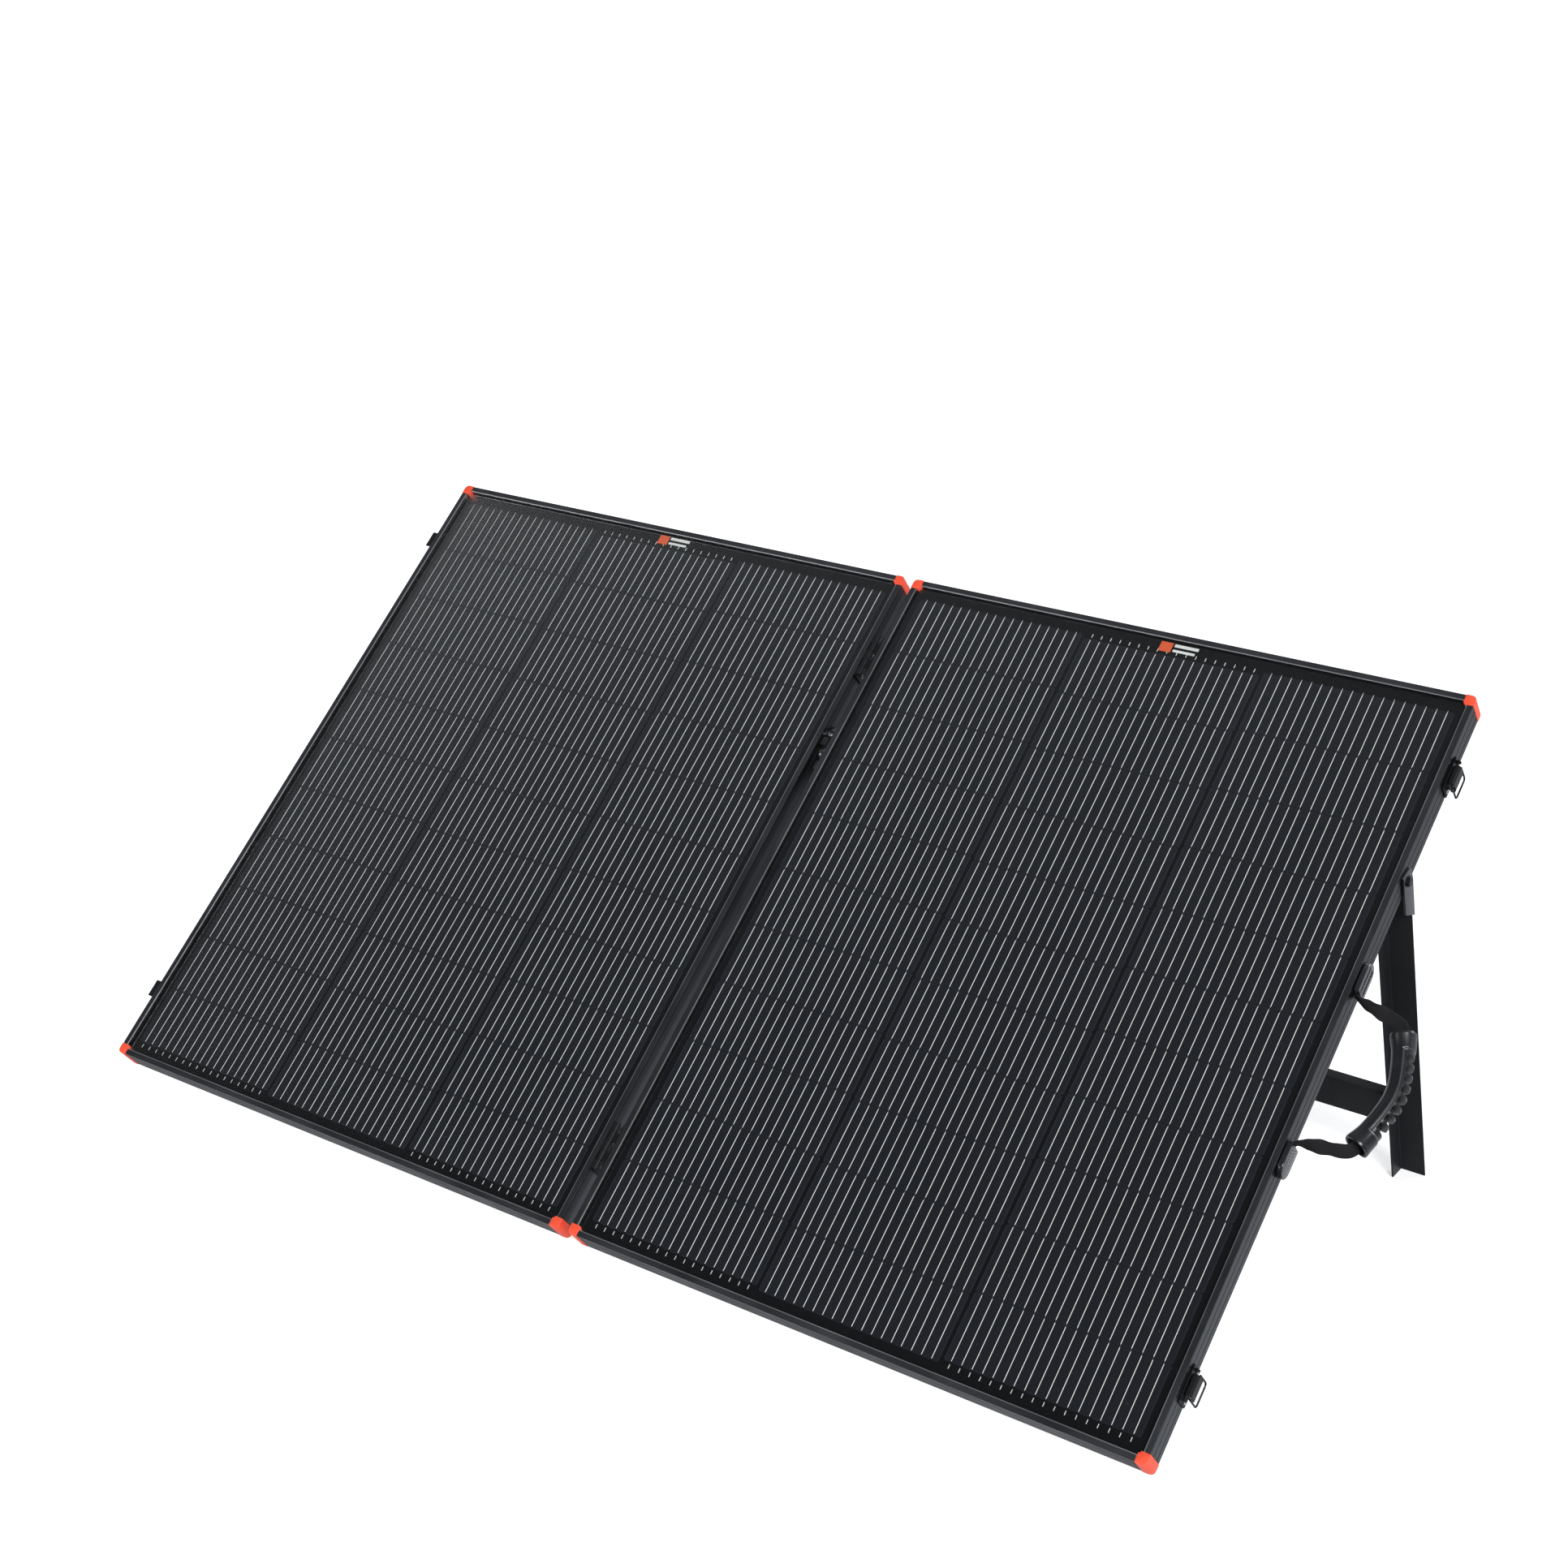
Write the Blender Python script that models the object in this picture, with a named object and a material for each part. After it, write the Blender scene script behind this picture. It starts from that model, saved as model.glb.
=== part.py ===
"""Two framed solar panels that fold together like a suitcase, standing open on two folding stands.

Everything is laid out in the plane of the panels: u runs across both panels from the left one's outer
side, v runs up the slope from the bottom edge, and w points out of the glass. One empty tilts that plane
to its place in the world, and every moving body hangs on an empty that lies on its joint's axis.
"""
from math import cos
from math import pi
from math import radians
from math import sin

import bmesh
import bpy
import numpy as np
from mathutils import Vector

# ---- driving dimensions, in metres and degrees -----------------------------------------------------------
PANEL_WIDTH = 0.580
PANEL_HEIGHT = 0.730
FRAME_DEPTH = 0.025
PANEL_GAP = 0.012
TILT = radians(39.3)
CLEARANCE = 0.0003

WALL = 0.0016
LIP_WIDTH = 0.0061
LIP_THICKNESS = 0.0012
SHELF_WIDTH = 0.0085
SHELF_TOP = -0.0058
UPRIGHT_FLANGE_WIDTH = 0.018
LEVEL_FLANGE_WIDTH = 0.0096
FLANGE_THICKNESS = 0.0014
GROOVE_DEPTH = 0.0005
GROOVE_PLACES = (-0.0085, -0.0180)

CAP_SIZE = 0.0098
CAP_PROUD = 0.0004
CAP_ROUNDING = 0.005

GLASS_EDGE = 0.0022
GLASS_TOP = -0.0015
GLASS_THICKNESS = 0.0028
LAMINATE_THICKNESS = 0.0009

HINGE_LENGTH = 0.048
HINGE_UP = {"lower": 0.086, "upper": 0.6355}
HINGE_AXIS_OUT = 0.0006
KNUCKLE_RADIUS = 0.0026
HINGE_PIN_RADIUS = 0.0012
HINGE_LEAF_THICKNESS = 0.0014
HINGE_LEAF_DEPTH = 0.020

PIVOT_UP = 0.5485
PIVOT_OUT = -0.0155
LEG_ANGLE = radians(69.2)
LEG_FACE_WIDTH = 0.025
LEG_SIDE_FRONT = -0.0085
LEG_FACE_BACK = 0.0115
LEG_THICKNESS = 0.0015
LEG_TOP = 0.0067
PIVOT_PLATE_THICKNESS = 0.0020
BOLT_RADIUS = 0.0025
BOLT_HEAD_RADIUS = 0.0046
BOLT_HEAD_HEIGHT = 0.0030
CROSSBAR_TOP = 0.2707
CROSSBAR_WIDTH = 0.0373
CROSSBAR_FRONT = -0.0010

JUNCTION_BOX_SIZE = (0.088, 0.062)
JUNCTION_BOX_DEPTH = 0.0132
JUNCTION_BOX_WALL = 0.002
JUNCTION_BOX_UP = 0.640
LID_THICKNESS = 0.002

GLAND_OUT = -0.0126
CABLE_RADIUS = 0.0020
CABLE_OUT = -0.0105
OUTLET_UP = {"left": 0.5365, "right": 0.5095}
OUTLET_LENGTH = 0.0090
OUTLET_WIDTH = 0.0100
OUTLET_HEIGHT = 0.0056

LATCH_FROM_END = 0.0745
LATCH_PLATE_THICKNESS = 0.0012
LATCH_BASE_LENGTH = 0.033
LATCH_BASE_FRONT = -0.0080
LATCH_BASE_BACK = -0.0245
LEVER_AXIS_PROUD = 0.0042
LEVER_AXIS_OUT = -0.0102
LEVER_WIDTH = 0.0184
LEVER_REACH = 0.0153
LEVER_INNER = 0.0020
LEVER_OUTER = 0.0082
LEVER_PIN_RADIUS = 0.0010
BAIL_AXIS_PROUD = 0.0066
BAIL_AXIS_OUT = -0.0137
BAIL_WIRE_RADIUS = 0.0009
BAIL_HALF_WIDTH = 0.0107
BAIL_REACH = 0.0199
EAR_INNER = 0.0124
EAR_THICKNESS = 0.0012
STRIKE_LENGTH = 0.030
STRIKE_BACK = -0.0180
STRIKE_TAB_LENGTH = 0.0180
STRIKE_TAB_HEIGHT = 0.0081
STRIKE_TAB_OUT = -0.0024

HANDLE_UP = 0.362
ANCHOR_NEAR = 0.072
ANCHOR_LENGTH = 0.030
ANCHOR_WIDTH = 0.0205
ANCHOR_HEIGHT = 0.0060
STRAP_WIDTH = 0.019
STRAP_THICKNESS = 0.0018
STRAP_END_WIDTH = 0.0058
HANDLE_AXIS_PROUD = 0.0033
HANDLE_DROOP = radians(12.0)
HANDLE_ROUTE = (
    (0.0033, 0.0714),
    (0.0035, 0.0700),
    (0.0070, 0.0678),
    (0.0170, 0.0655),
    (0.0300, 0.0632),
    (0.0420, 0.0606),
    (0.0476, 0.0568),
    (0.0505, 0.0500),
    (0.0545, 0.0400),
    (0.0592, 0.0250),
    (0.0625, 0.0100),
)
HANDLE_MIDDLE = (0.0632, 0.0)
GRIP_LENGTH = 0.107
GRIP_RADIAL = 0.0200
GRIP_WIDE = 0.0250
GRIP_FLARE = 0.16


# ---- scene and bodies ------------------------------------------------------------------------------------
def clear_scene():
    """Remove whatever objects the scene starts with."""
    for old in list(bpy.data.objects):
        bpy.data.objects.remove(old, do_unlink=True)


def material(name, colour, roughness, metallic):
    """A Principled material in one colour."""
    made = bpy.data.materials.new(name)
    made.use_nodes = True
    shader = made.node_tree.nodes["Principled BSDF"]
    shader.inputs["Base Color"].default_value = (*colour, 1.0)
    shader.inputs["Roughness"].default_value = roughness
    shader.inputs["Metallic"].default_value = metallic
    made.diffuse_color = (*colour, 1.0)
    return made


class Body:
    """An empty on a joint's axis, and where that axis lies in panel coordinates."""

    def __init__(self, name, origin, parent=None, turn=(0.0, 0.0, 0.0)):
        self.origin = Vector(origin)
        self.empty = bpy.data.objects.new(name, None)
        bpy.context.scene.collection.objects.link(self.empty)
        self.empty.rotation_euler = turn
        if parent is None:
            self.empty.location = self.origin
        else:
            self.empty.parent = parent.empty
            self.empty.location = self.origin - parent.origin


def add_object(name, shape, body, finish=None):
    """Turn a bmesh in panel coordinates into a named object that hangs on its body."""
    bmesh.ops.remove_doubles(shape, verts=shape.verts, dist=1e-7)
    bmesh.ops.recalc_face_normals(shape, faces=shape.faces)
    mesh = bpy.data.meshes.new(name)
    shape.to_mesh(mesh)
    shape.free()
    made = bpy.data.objects.new(name, mesh)
    bpy.context.scene.collection.objects.link(made)
    made.parent = body.empty
    made.location = -body.origin
    if finish is not None:
        mesh.materials.append(finish)
    return made


def boolean(target, tool, operation):
    """Cut the tool from the target or join it on, and keep the tool out of the model."""
    tool.hide_render = True
    tool.display_type = "WIRE"
    step = target.modifiers.new(tool.name, "BOOLEAN")
    step.operation = operation
    step.solver = "EXACT"
    step.object = tool


def shade_round(made, angle=radians(35.0)):
    """Smooth shading that stays sharp at real edges."""
    made.data.shade_smooth()
    made.data.set_sharp_from_angle(angle=angle)


# ---- shapes ----------------------------------------------------------------------------------------------
AXES = {"u": (1, 2, 0), "v": (0, 2, 1), "w": (0, 1, 2)}


def prism(outline, axis, starts, ends):
    """A straight bar: an outline in the two other coordinates, run along u, v or w.

    Starts and ends are one value each, or one value for every point of the outline on a slanted cut.
    """
    first, second, third = AXES[axis]
    count = len(outline)
    shape = bmesh.new()
    rings = []
    for values in (starts, ends):
        cut = np.broadcast_to(values, count)
        ring = []
        for (a, b), c in zip(outline, cut):
            place = [0.0, 0.0, 0.0]
            place[first] = a
            place[second] = b
            place[third] = c
            ring.append(shape.verts.new(place))
        rings.append(ring)
    near, far = rings
    shape.faces.new(near)
    shape.faces.new(far)
    for i in range(count):
        j = (i + 1) % count
        shape.faces.new((near[i], near[j], far[j], far[i]))
    return shape


def block(low, high):
    """A box between two corners."""
    outline = [(low[0], low[1]), (high[0], low[1]), (high[0], high[1]), (low[0], high[1])]
    return prism(outline, "w", low[2], high[2])


def turned(points, centre, axis, sides=24):
    """A solid of revolution: (radius, distance) points turned round an axis through the centre."""
    first, second, third = AXES[axis]
    shape = bmesh.new()
    rings = []
    for radius, distance in points:
        ring = []
        for k in range(sides):
            place = list(centre)
            place[first] += radius * cos(2 * pi * k / sides)
            place[second] += radius * sin(2 * pi * k / sides)
            place[third] += distance
            ring.append(shape.verts.new(place))
        rings.append(ring)
    shape.faces.new(rings[0])
    shape.faces.new(rings[-1])
    for near, far in zip(rings, rings[1:]):
        for k in range(sides):
            m = (k + 1) % sides
            shape.faces.new((near[k], near[m], far[m], far[k]))
    return shape


def rod(radius, centre, axis, low, high, sides=24):
    """A plain cylinder along an axis, between two distances from its centre."""
    return turned([(radius, low), (radius, high)], centre, axis, sides)


def arc(centre, radius, start, end, steps):
    """Points on a circle's arc, from one angle to another in degrees."""
    angles = np.radians(np.linspace(start, end, steps + 1))
    return [(centre[0] + radius * cos(a), centre[1] + radius * sin(a)) for a in angles]


# ---- places that several parts share ---------------------------------------------------------------------
TOTAL_WIDTH = 2 * PANEL_WIDTH + PANEL_GAP
GAP_CENTRE = PANEL_WIDTH + PANEL_GAP / 2
LAMINATE_TOP = GLASS_TOP - GLASS_THICKNESS - CLEARANCE
LAMINATE_BACK = LAMINATE_TOP - LAMINATE_THICKNESS
GROUND_DROP = CAP_PROUD * sin(TILT) + (FRAME_DEPTH + CAP_PROUD) * cos(TILT)


class Panel:
    """One framed panel: where its left side stands, which side faces the gap, and its body."""

    def __init__(self, name, start, body, outer_is_left):
        self.name = name
        self.start = start
        self.body = body
        self.outer_is_left = outer_is_left

    def from_left(self, distance):
        """A place across the panel, from its left side."""
        return self.start + distance

    def from_outer(self, distance):
        """A place across the panel, from the side that faces away from the gap."""
        if self.outer_is_left:
            return self.start + distance
        return self.start + PANEL_WIDTH - distance

    def from_inner(self, distance):
        """A place across the panel, from the side that faces the gap."""
        return self.from_outer(PANEL_WIDTH - distance)


# ---- frame, caps and laminate ----------------------------------------------------------------------------
def rail_section(flange_width):
    """The extrusion's section: x runs inward from the outer face, z is w."""
    outline = [
        (0.0, 0.0),
        (LIP_WIDTH, 0.0),
        (LIP_WIDTH, -LIP_THICKNESS),
        (WALL, -LIP_THICKNESS),
        (WALL, SHELF_TOP),
        (SHELF_WIDTH, SHELF_TOP),
        (SHELF_WIDTH, SHELF_TOP - LIP_THICKNESS),
        (WALL, SHELF_TOP - LIP_THICKNESS),
        (WALL, -FRAME_DEPTH + FLANGE_THICKNESS),
        (flange_width, -FRAME_DEPTH + FLANGE_THICKNESS),
        (flange_width, -FRAME_DEPTH),
        (0.0, -FRAME_DEPTH),
    ]
    for place in reversed(GROOVE_PLACES):
        outline.append((0.0, place - GROOVE_DEPTH))
        outline.append((GROOVE_DEPTH, place))
        outline.append((0.0, place + GROOVE_DEPTH))
    return outline


def make_rails(panel, finish):
    """Four straight rails that stop at the corner caps. Returns the two that run up the slope."""
    section = rail_section(LEVEL_FLANGE_WIDTH)
    cut = CAP_SIZE + CLEARANCE
    spans = {"bottom": (0.0, 1.0), "top": (PANEL_HEIGHT, -1.0)}
    for side, (edge, inward) in spans.items():
        outline = [(edge + inward * x, z) for x, z in section]
        shape = prism(outline, "u", panel.from_left(cut), panel.from_left(PANEL_WIDTH - cut))
        add_object(f"{panel.name}_frame_{side}_rail", shape, panel.body, finish)
    section = rail_section(UPRIGHT_FLANGE_WIDTH)
    uprights = {}
    for side, place in (("outer", panel.from_outer), ("inner", panel.from_inner)):
        outline = [(place(x), z) for x, z in section]
        shape = prism(outline, "v", cut, PANEL_HEIGHT - cut)
        uprights[side] = add_object(f"{panel.name}_frame_{side}_rail", shape, panel.body, finish)
    return uprights


def make_caps(panel, finish):
    """A moulded cap on each corner, with a pocket where the laminate's corner goes in."""
    low = -CAP_PROUD
    high = CAP_SIZE
    centre = (low + CAP_ROUNDING, low + CAP_ROUNDING)
    outline = [(high, low), (high, high), (low, high)] + arc(centre, CAP_ROUNDING, 180.0, 270.0, 6)
    pocket_edge = GLASS_EDGE - CLEARANCE
    for end in ("bottom", "top"):
        for side, across in (("outer", panel.from_outer), ("inner", panel.from_inner)):
            name = f"{panel.name}_{end}_{side}_corner_cap"

            def up(distance):
                return distance if end == "bottom" else PANEL_HEIGHT - distance

            corner = [(across(a), up(b)) for a, b in outline]
            shape = prism(corner, "w", -FRAME_DEPTH - CAP_PROUD, CAP_PROUD)
            cap = add_object(name, shape, panel.body, finish)
            far = CAP_SIZE + 0.002
            hole = block(
                (across(pocket_edge), up(pocket_edge), SHELF_TOP),
                (across(far), up(far), -LIP_THICKNESS),
            )
            boolean(cap, add_object(name + "_pocket", hole, panel.body), "DIFFERENCE")


def make_laminate(panel, glass_finish, cell_finish):
    """The front glass, and under it the sheet of cells on its backsheet."""
    layers = (
        ("front_glass", GLASS_TOP - GLASS_THICKNESS, GLASS_TOP, glass_finish),
        ("cell_laminate", LAMINATE_BACK, LAMINATE_TOP, cell_finish),
    )
    for name, low, high, finish in layers:
        shape = block(
            (panel.from_left(GLASS_EDGE), GLASS_EDGE, low),
            (panel.from_left(PANEL_WIDTH - GLASS_EDGE), PANEL_HEIGHT - GLASS_EDGE, high),
        )
        add_object(f"{panel.name}_{name}", shape, panel.body, finish)


# ---- hinges ----------------------------------------------------------------------------------------------
KNUCKLES = 5


def make_hinge(name, centre_up, left, right, finish):
    """A butt hinge: the left leaf holds the pin, and the right leaf's knuckles turn on it."""
    pitch = HINGE_LENGTH / KNUCKLES
    axis = (GAP_CENTRE, centre_up, HINGE_AXIS_OUT)
    for side, panel, inward, first in (("left", left, 1.0, 0), ("right", right, -1.0, 1)):
        face = panel.from_inner(0.0) + inward * CLEARANCE
        back = face + inward * HINGE_LEAF_THICKNESS
        web_low = HINGE_AXIS_OUT - HINGE_LEAF_THICKNESS
        leaf = add_object(
            f"{name}_hinge_{side}_leaf",
            block(
                (min(face, back), centre_up - HINGE_LENGTH / 2, -HINGE_LEAF_DEPTH),
                (max(face, back), centre_up + HINGE_LENGTH / 2, web_low - CLEARANCE),
            ),
            panel.body,
            finish,
        )
        for k in range(first, KNUCKLES, 2):
            low = -HINGE_LENGTH / 2 + k * pitch + CLEARANCE / 2
            high = low + pitch - CLEARANCE
            web = block(
                (min(face, GAP_CENTRE), centre_up + low, web_low - 2 * CLEARANCE),
                (max(face, GAP_CENTRE), centre_up + high, HINGE_AXIS_OUT),
            )
            boolean(leaf, add_object(f"{leaf.name}_web_{k}", web, panel.body), "UNION")
            knuckle = rod(KNUCKLE_RADIUS, axis, "v", low, high, 20)
            boolean(leaf, add_object(f"{leaf.name}_knuckle_{k}", knuckle, panel.body), "UNION")
        if side == "left":
            pin_half = HINGE_LENGTH / 2 - pitch / 2
            pin = rod(HINGE_PIN_RADIUS, axis, "v", -pin_half, pin_half, 20)
            boolean(leaf, add_object(f"{leaf.name}_pin", pin, panel.body), "UNION")
        else:
            bore = rod(HINGE_PIN_RADIUS + CLEARANCE, axis, "v", -HINGE_LENGTH / 2, HINGE_LENGTH / 2, 20)
            boolean(leaf, add_object(f"{leaf.name}_bore", bore, panel.body), "DIFFERENCE")
        shade_round(leaf)


# ---- stands ----------------------------------------------------------------------------------------------
# Along the leg from the bolt, and behind it. The inner plate is short, so that it folds past the outlets.
PIVOT_PLATE_OUTLINES = {
    "outer": [(-0.0085, -0.0075), (0.0340, -0.0065), (0.0480, 0.0115), (0.0050, 0.0115), (-0.0090, 0.0085)],
    "inner": [
        (0.0000, -0.0068),
        (0.0042, -0.0054),
        (0.0063, -0.0024),
        (0.0066, 0.0016),
        (0.0140, 0.0080),
        (0.0140, 0.0115),
        (0.0030, 0.0115),
        (-0.0040, 0.0080),
        (-0.0068, 0.0020),
        (-0.0066, -0.0026),
        (-0.0042, -0.0054),
    ],
}


def foot_distance(behind):
    """How far down the leg the ground lies, for a point that stands this far behind the pivot's line."""
    lean = TILT + LEG_ANGLE
    pivot_height = PIVOT_UP * sin(TILT) + PIVOT_OUT * cos(TILT) + GROUND_DROP
    return (pivot_height - behind * cos(lean)) / sin(lean)


def make_stand(panel, stand, uprights, leg_finish, plate_finish, bolt_finish):
    """Two angle-section legs and a crossbar, built folded flat and turned out by the stand's empty."""
    down = PIVOT_UP
    axis = (0.0, PIVOT_UP, PIVOT_OUT)
    for side, across, outward in (
        ("outer", panel.from_outer, 1.0),
        ("inner", panel.from_inner, 1.0),
    ):
        inner_face = LEG_FACE_WIDTH - LEG_THICKNESS
        section = [
            (0.0, LEG_FACE_BACK),
            (LEG_FACE_WIDTH, LEG_FACE_BACK),
            (LEG_FACE_WIDTH, LEG_SIDE_FRONT),
            (inner_face, LEG_SIDE_FRONT),
            (inner_face, LEG_FACE_BACK - LEG_THICKNESS),
            (0.0, LEG_FACE_BACK - LEG_THICKNESS),
        ]
        outline = [(across(x), PIVOT_OUT - behind) for x, behind in section]
        ends = [down - foot_distance(behind) for _, behind in section]
        leg = prism(outline, "v", down - LEG_TOP, ends)
        add_object(f"{panel.name}_stand_{side}_leg", leg, stand, leg_finish)

        corners = PIVOT_PLATE_OUTLINES[side]
        outline = [(down - along, PIVOT_OUT - behind) for along, behind in corners]
        near = across(-CLEARANCE)
        far = across(-CLEARANCE - PIVOT_PLATE_THICKNESS)
        plate = add_object(
            f"{panel.name}_stand_{side}_pivot_plate", prism(outline, "u", near, far), stand, plate_finish
        )
        hole_radius = BOLT_RADIUS + CLEARANCE
        hole = rod(hole_radius, (near, *axis[1:]), "u", -0.006, 0.006, 20)
        boolean(plate, add_object(plate.name + "_hole", hole, stand), "DIFFERENCE")

        rail = uprights[side]
        rail_hole = rod(hole_radius, (across(0.0), *axis[1:]), "u", -0.004, 0.004, 20)
        boolean(rail, add_object(f"{rail.name}_pivot_hole", rail_hole, panel.body), "DIFFERENCE")

        way = 1.0 if across(-1.0) > across(0.0) else -1.0
        plate_far = 2 * CLEARANCE + PIVOT_PLATE_THICKNESS
        profile = [
            (BOLT_HEAD_RADIUS - 0.0006, -(WALL + CLEARANCE + BOLT_HEAD_HEIGHT)),
            (BOLT_HEAD_RADIUS, -(WALL + CLEARANCE + BOLT_HEAD_HEIGHT - 0.0006)),
            (BOLT_HEAD_RADIUS, -(WALL + CLEARANCE)),
            (BOLT_RADIUS, -(WALL + CLEARANCE)),
            (BOLT_RADIUS, plate_far),
            (BOLT_HEAD_RADIUS, plate_far),
            (BOLT_HEAD_RADIUS, plate_far + BOLT_HEAD_HEIGHT - 0.0006),
            (BOLT_HEAD_RADIUS - 0.0008, plate_far + BOLT_HEAD_HEIGHT),
        ]
        profile = [(radius, way * distance) for radius, distance in profile]
        bolt = turned(profile, (across(0.0), *axis[1:]), "u", 18)
        shade_round(add_object(f"{panel.name}_stand_{side}_pivot_bolt", bolt, panel.body, bolt_finish))

    front = CROSSBAR_FRONT
    section = [
        (CROSSBAR_TOP, front),
        (CROSSBAR_TOP + CROSSBAR_WIDTH, front),
        (CROSSBAR_TOP + CROSSBAR_WIDTH, front + LEG_THICKNESS),
        (CROSSBAR_TOP + LEG_THICKNESS, front + LEG_THICKNESS),
        (CROSSBAR_TOP + LEG_THICKNESS, LEG_FACE_BACK - LEG_THICKNESS),
        (CROSSBAR_TOP, LEG_FACE_BACK - LEG_THICKNESS),
    ]
    outline = [(down - along, PIVOT_OUT - behind) for along, behind in section]
    reach = LEG_FACE_WIDTH + CLEARANCE
    bar = prism(outline, "u", panel.from_left(reach), panel.from_left(PANEL_WIDTH - reach))
    add_object(f"{panel.name}_stand_crossbar", bar, stand, leg_finish)


# ---- junction boxes and cables ---------------------------------------------------------------------------
STUB_RADIUS = 0.0045
STUB_LENGTH = 0.008
BOX_TOP = LAMINATE_BACK - CLEARANCE
BOX_BACK = BOX_TOP - JUNCTION_BOX_DEPTH


def make_junction_box(panel, finish, has_output):
    """A box glued to the back, open at the rear, with a lid and a spout for each cable."""
    middle = panel.from_left(PANEL_WIDTH / 2)
    half_u = JUNCTION_BOX_SIZE[0] / 2
    half_v = JUNCTION_BOX_SIZE[1] / 2
    low = (middle - half_u, JUNCTION_BOX_UP - half_v)
    high = (middle + half_u, JUNCTION_BOX_UP + half_v)
    box = add_object(f"{panel.name}_junction_box", block((*low, BOX_BACK), (*high, BOX_TOP)), panel.body, finish)
    way = 1.0 if panel.from_inner(0.0) > middle else -1.0
    edge = middle + way * half_u
    spout_low = -0.001 if way > 0 else -STUB_LENGTH
    spout_high = STUB_LENGTH if way > 0 else 0.001
    spout = rod(STUB_RADIUS, (edge, JUNCTION_BOX_UP, CABLE_OUT), "u", spout_low, spout_high, 20)
    boolean(box, add_object(box.name + "_spout", spout, panel.body), "UNION")
    if has_output:
        gland = turned(
            [(0.0062, 0.001), (0.0062, -0.006), (0.0050, -0.0075), (0.0050, -0.0140), (0.0038, -0.0150)],
            (middle - half_u / 2, low[1], GLAND_OUT),
            "v",
            18,
        )
        boolean(box, add_object(box.name + "_gland", gland, panel.body), "UNION")
    wall = JUNCTION_BOX_WALL
    cavity = block(
        (low[0] + wall, low[1] + wall, BOX_BACK - 0.002),
        (high[0] - wall, high[1] - wall, BOX_TOP - wall),
    )
    boolean(box, add_object(box.name + "_cavity", cavity, panel.body), "DIFFERENCE")
    lid_top = BOX_BACK - CLEARANCE
    lid = block((*low, lid_top - LID_THICKNESS), (*high, lid_top))
    add_object(f"{panel.name}_junction_box_lid", lid, panel.body, finish)


def make_outlet(panel, rail, finish):
    """A moulded outlet screwed to the inner rail, with a spigot through the rail's wall."""
    up = OUTLET_UP[panel.name]
    half = OUTLET_LENGTH / 2
    across = panel.from_inner
    near = across(-CLEARANCE)
    far = across(-CLEARANCE - OUTLET_HEIGHT)
    body = block(
        (min(near, far), up - half, CABLE_OUT - OUTLET_WIDTH / 2),
        (max(near, far), up + half, CABLE_OUT + OUTLET_WIDTH / 2),
    )
    outlet = add_object(f"{panel.name}_cable_outlet", body, panel.body, finish)
    radius = CABLE_RADIUS + 0.0006
    tip = across(WALL + 0.0012)
    root = across(-CLEARANCE - 0.001)
    spigot = rod(radius, (0.0, up, CABLE_OUT), "u", min(tip, root), max(tip, root), 20)
    boolean(outlet, add_object(outlet.name + "_spigot", spigot, panel.body), "UNION")
    hole = rod(radius + CLEARANCE, (across(0.0), up, CABLE_OUT), "u", -0.004, 0.004, 20)
    boolean(rail, add_object(f"{rail.name}_cable_hole", hole, panel.body), "DIFFERENCE")


def smooth_route(points, spacing):
    """A Catmull-Rom curve through the route's points, read off at an even spacing."""
    known = np.array(points, dtype=float)
    padded = np.vstack([2 * known[0] - known[1], known, 2 * known[-1] - known[-2]])
    fine = []
    for p0, p1, p2, p3 in zip(padded, padded[1:], padded[2:], padded[3:]):
        t = np.linspace(0.0, 1.0, 40, endpoint=False)[:, None]
        fine.append(
            0.5 * (2 * p1 + (p2 - p0) * t + (2 * p0 - 5 * p1 + 4 * p2 - p3) * t**2
                   + (3 * p1 - p0 - 3 * p2 + p3) * t**3)
        )
    fine = np.vstack(fine + [known[-1:]])
    lengths = np.concatenate([[0.0], np.cumsum(np.linalg.norm(np.diff(fine, axis=0), axis=1))])
    count = max(4, int(round(lengths[-1] / spacing)))
    wanted = np.linspace(0.0, lengths[-1], count + 1)
    return np.column_stack([np.interp(wanted, lengths, fine[:, k]) for k in range(3)])


def make_cable(name, points, spacing, body, finish):
    """A round cable along a smooth route."""
    curve = bpy.data.curves.new(name, "CURVE")
    curve.dimensions = "3D"
    curve.bevel_depth = CABLE_RADIUS
    curve.bevel_resolution = 2
    curve.use_fill_caps = True
    spline = curve.splines.new("POLY")
    places = smooth_route(points, spacing)
    spline.points.add(len(places) - 1)
    for point, place in zip(spline.points, places):
        point.co = (*place, 1.0)
    made = bpy.data.objects.new(name, curve)
    bpy.context.scene.collection.objects.link(made)
    made.parent = body.empty
    made.location = -body.origin
    curve.materials.append(finish)


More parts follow.
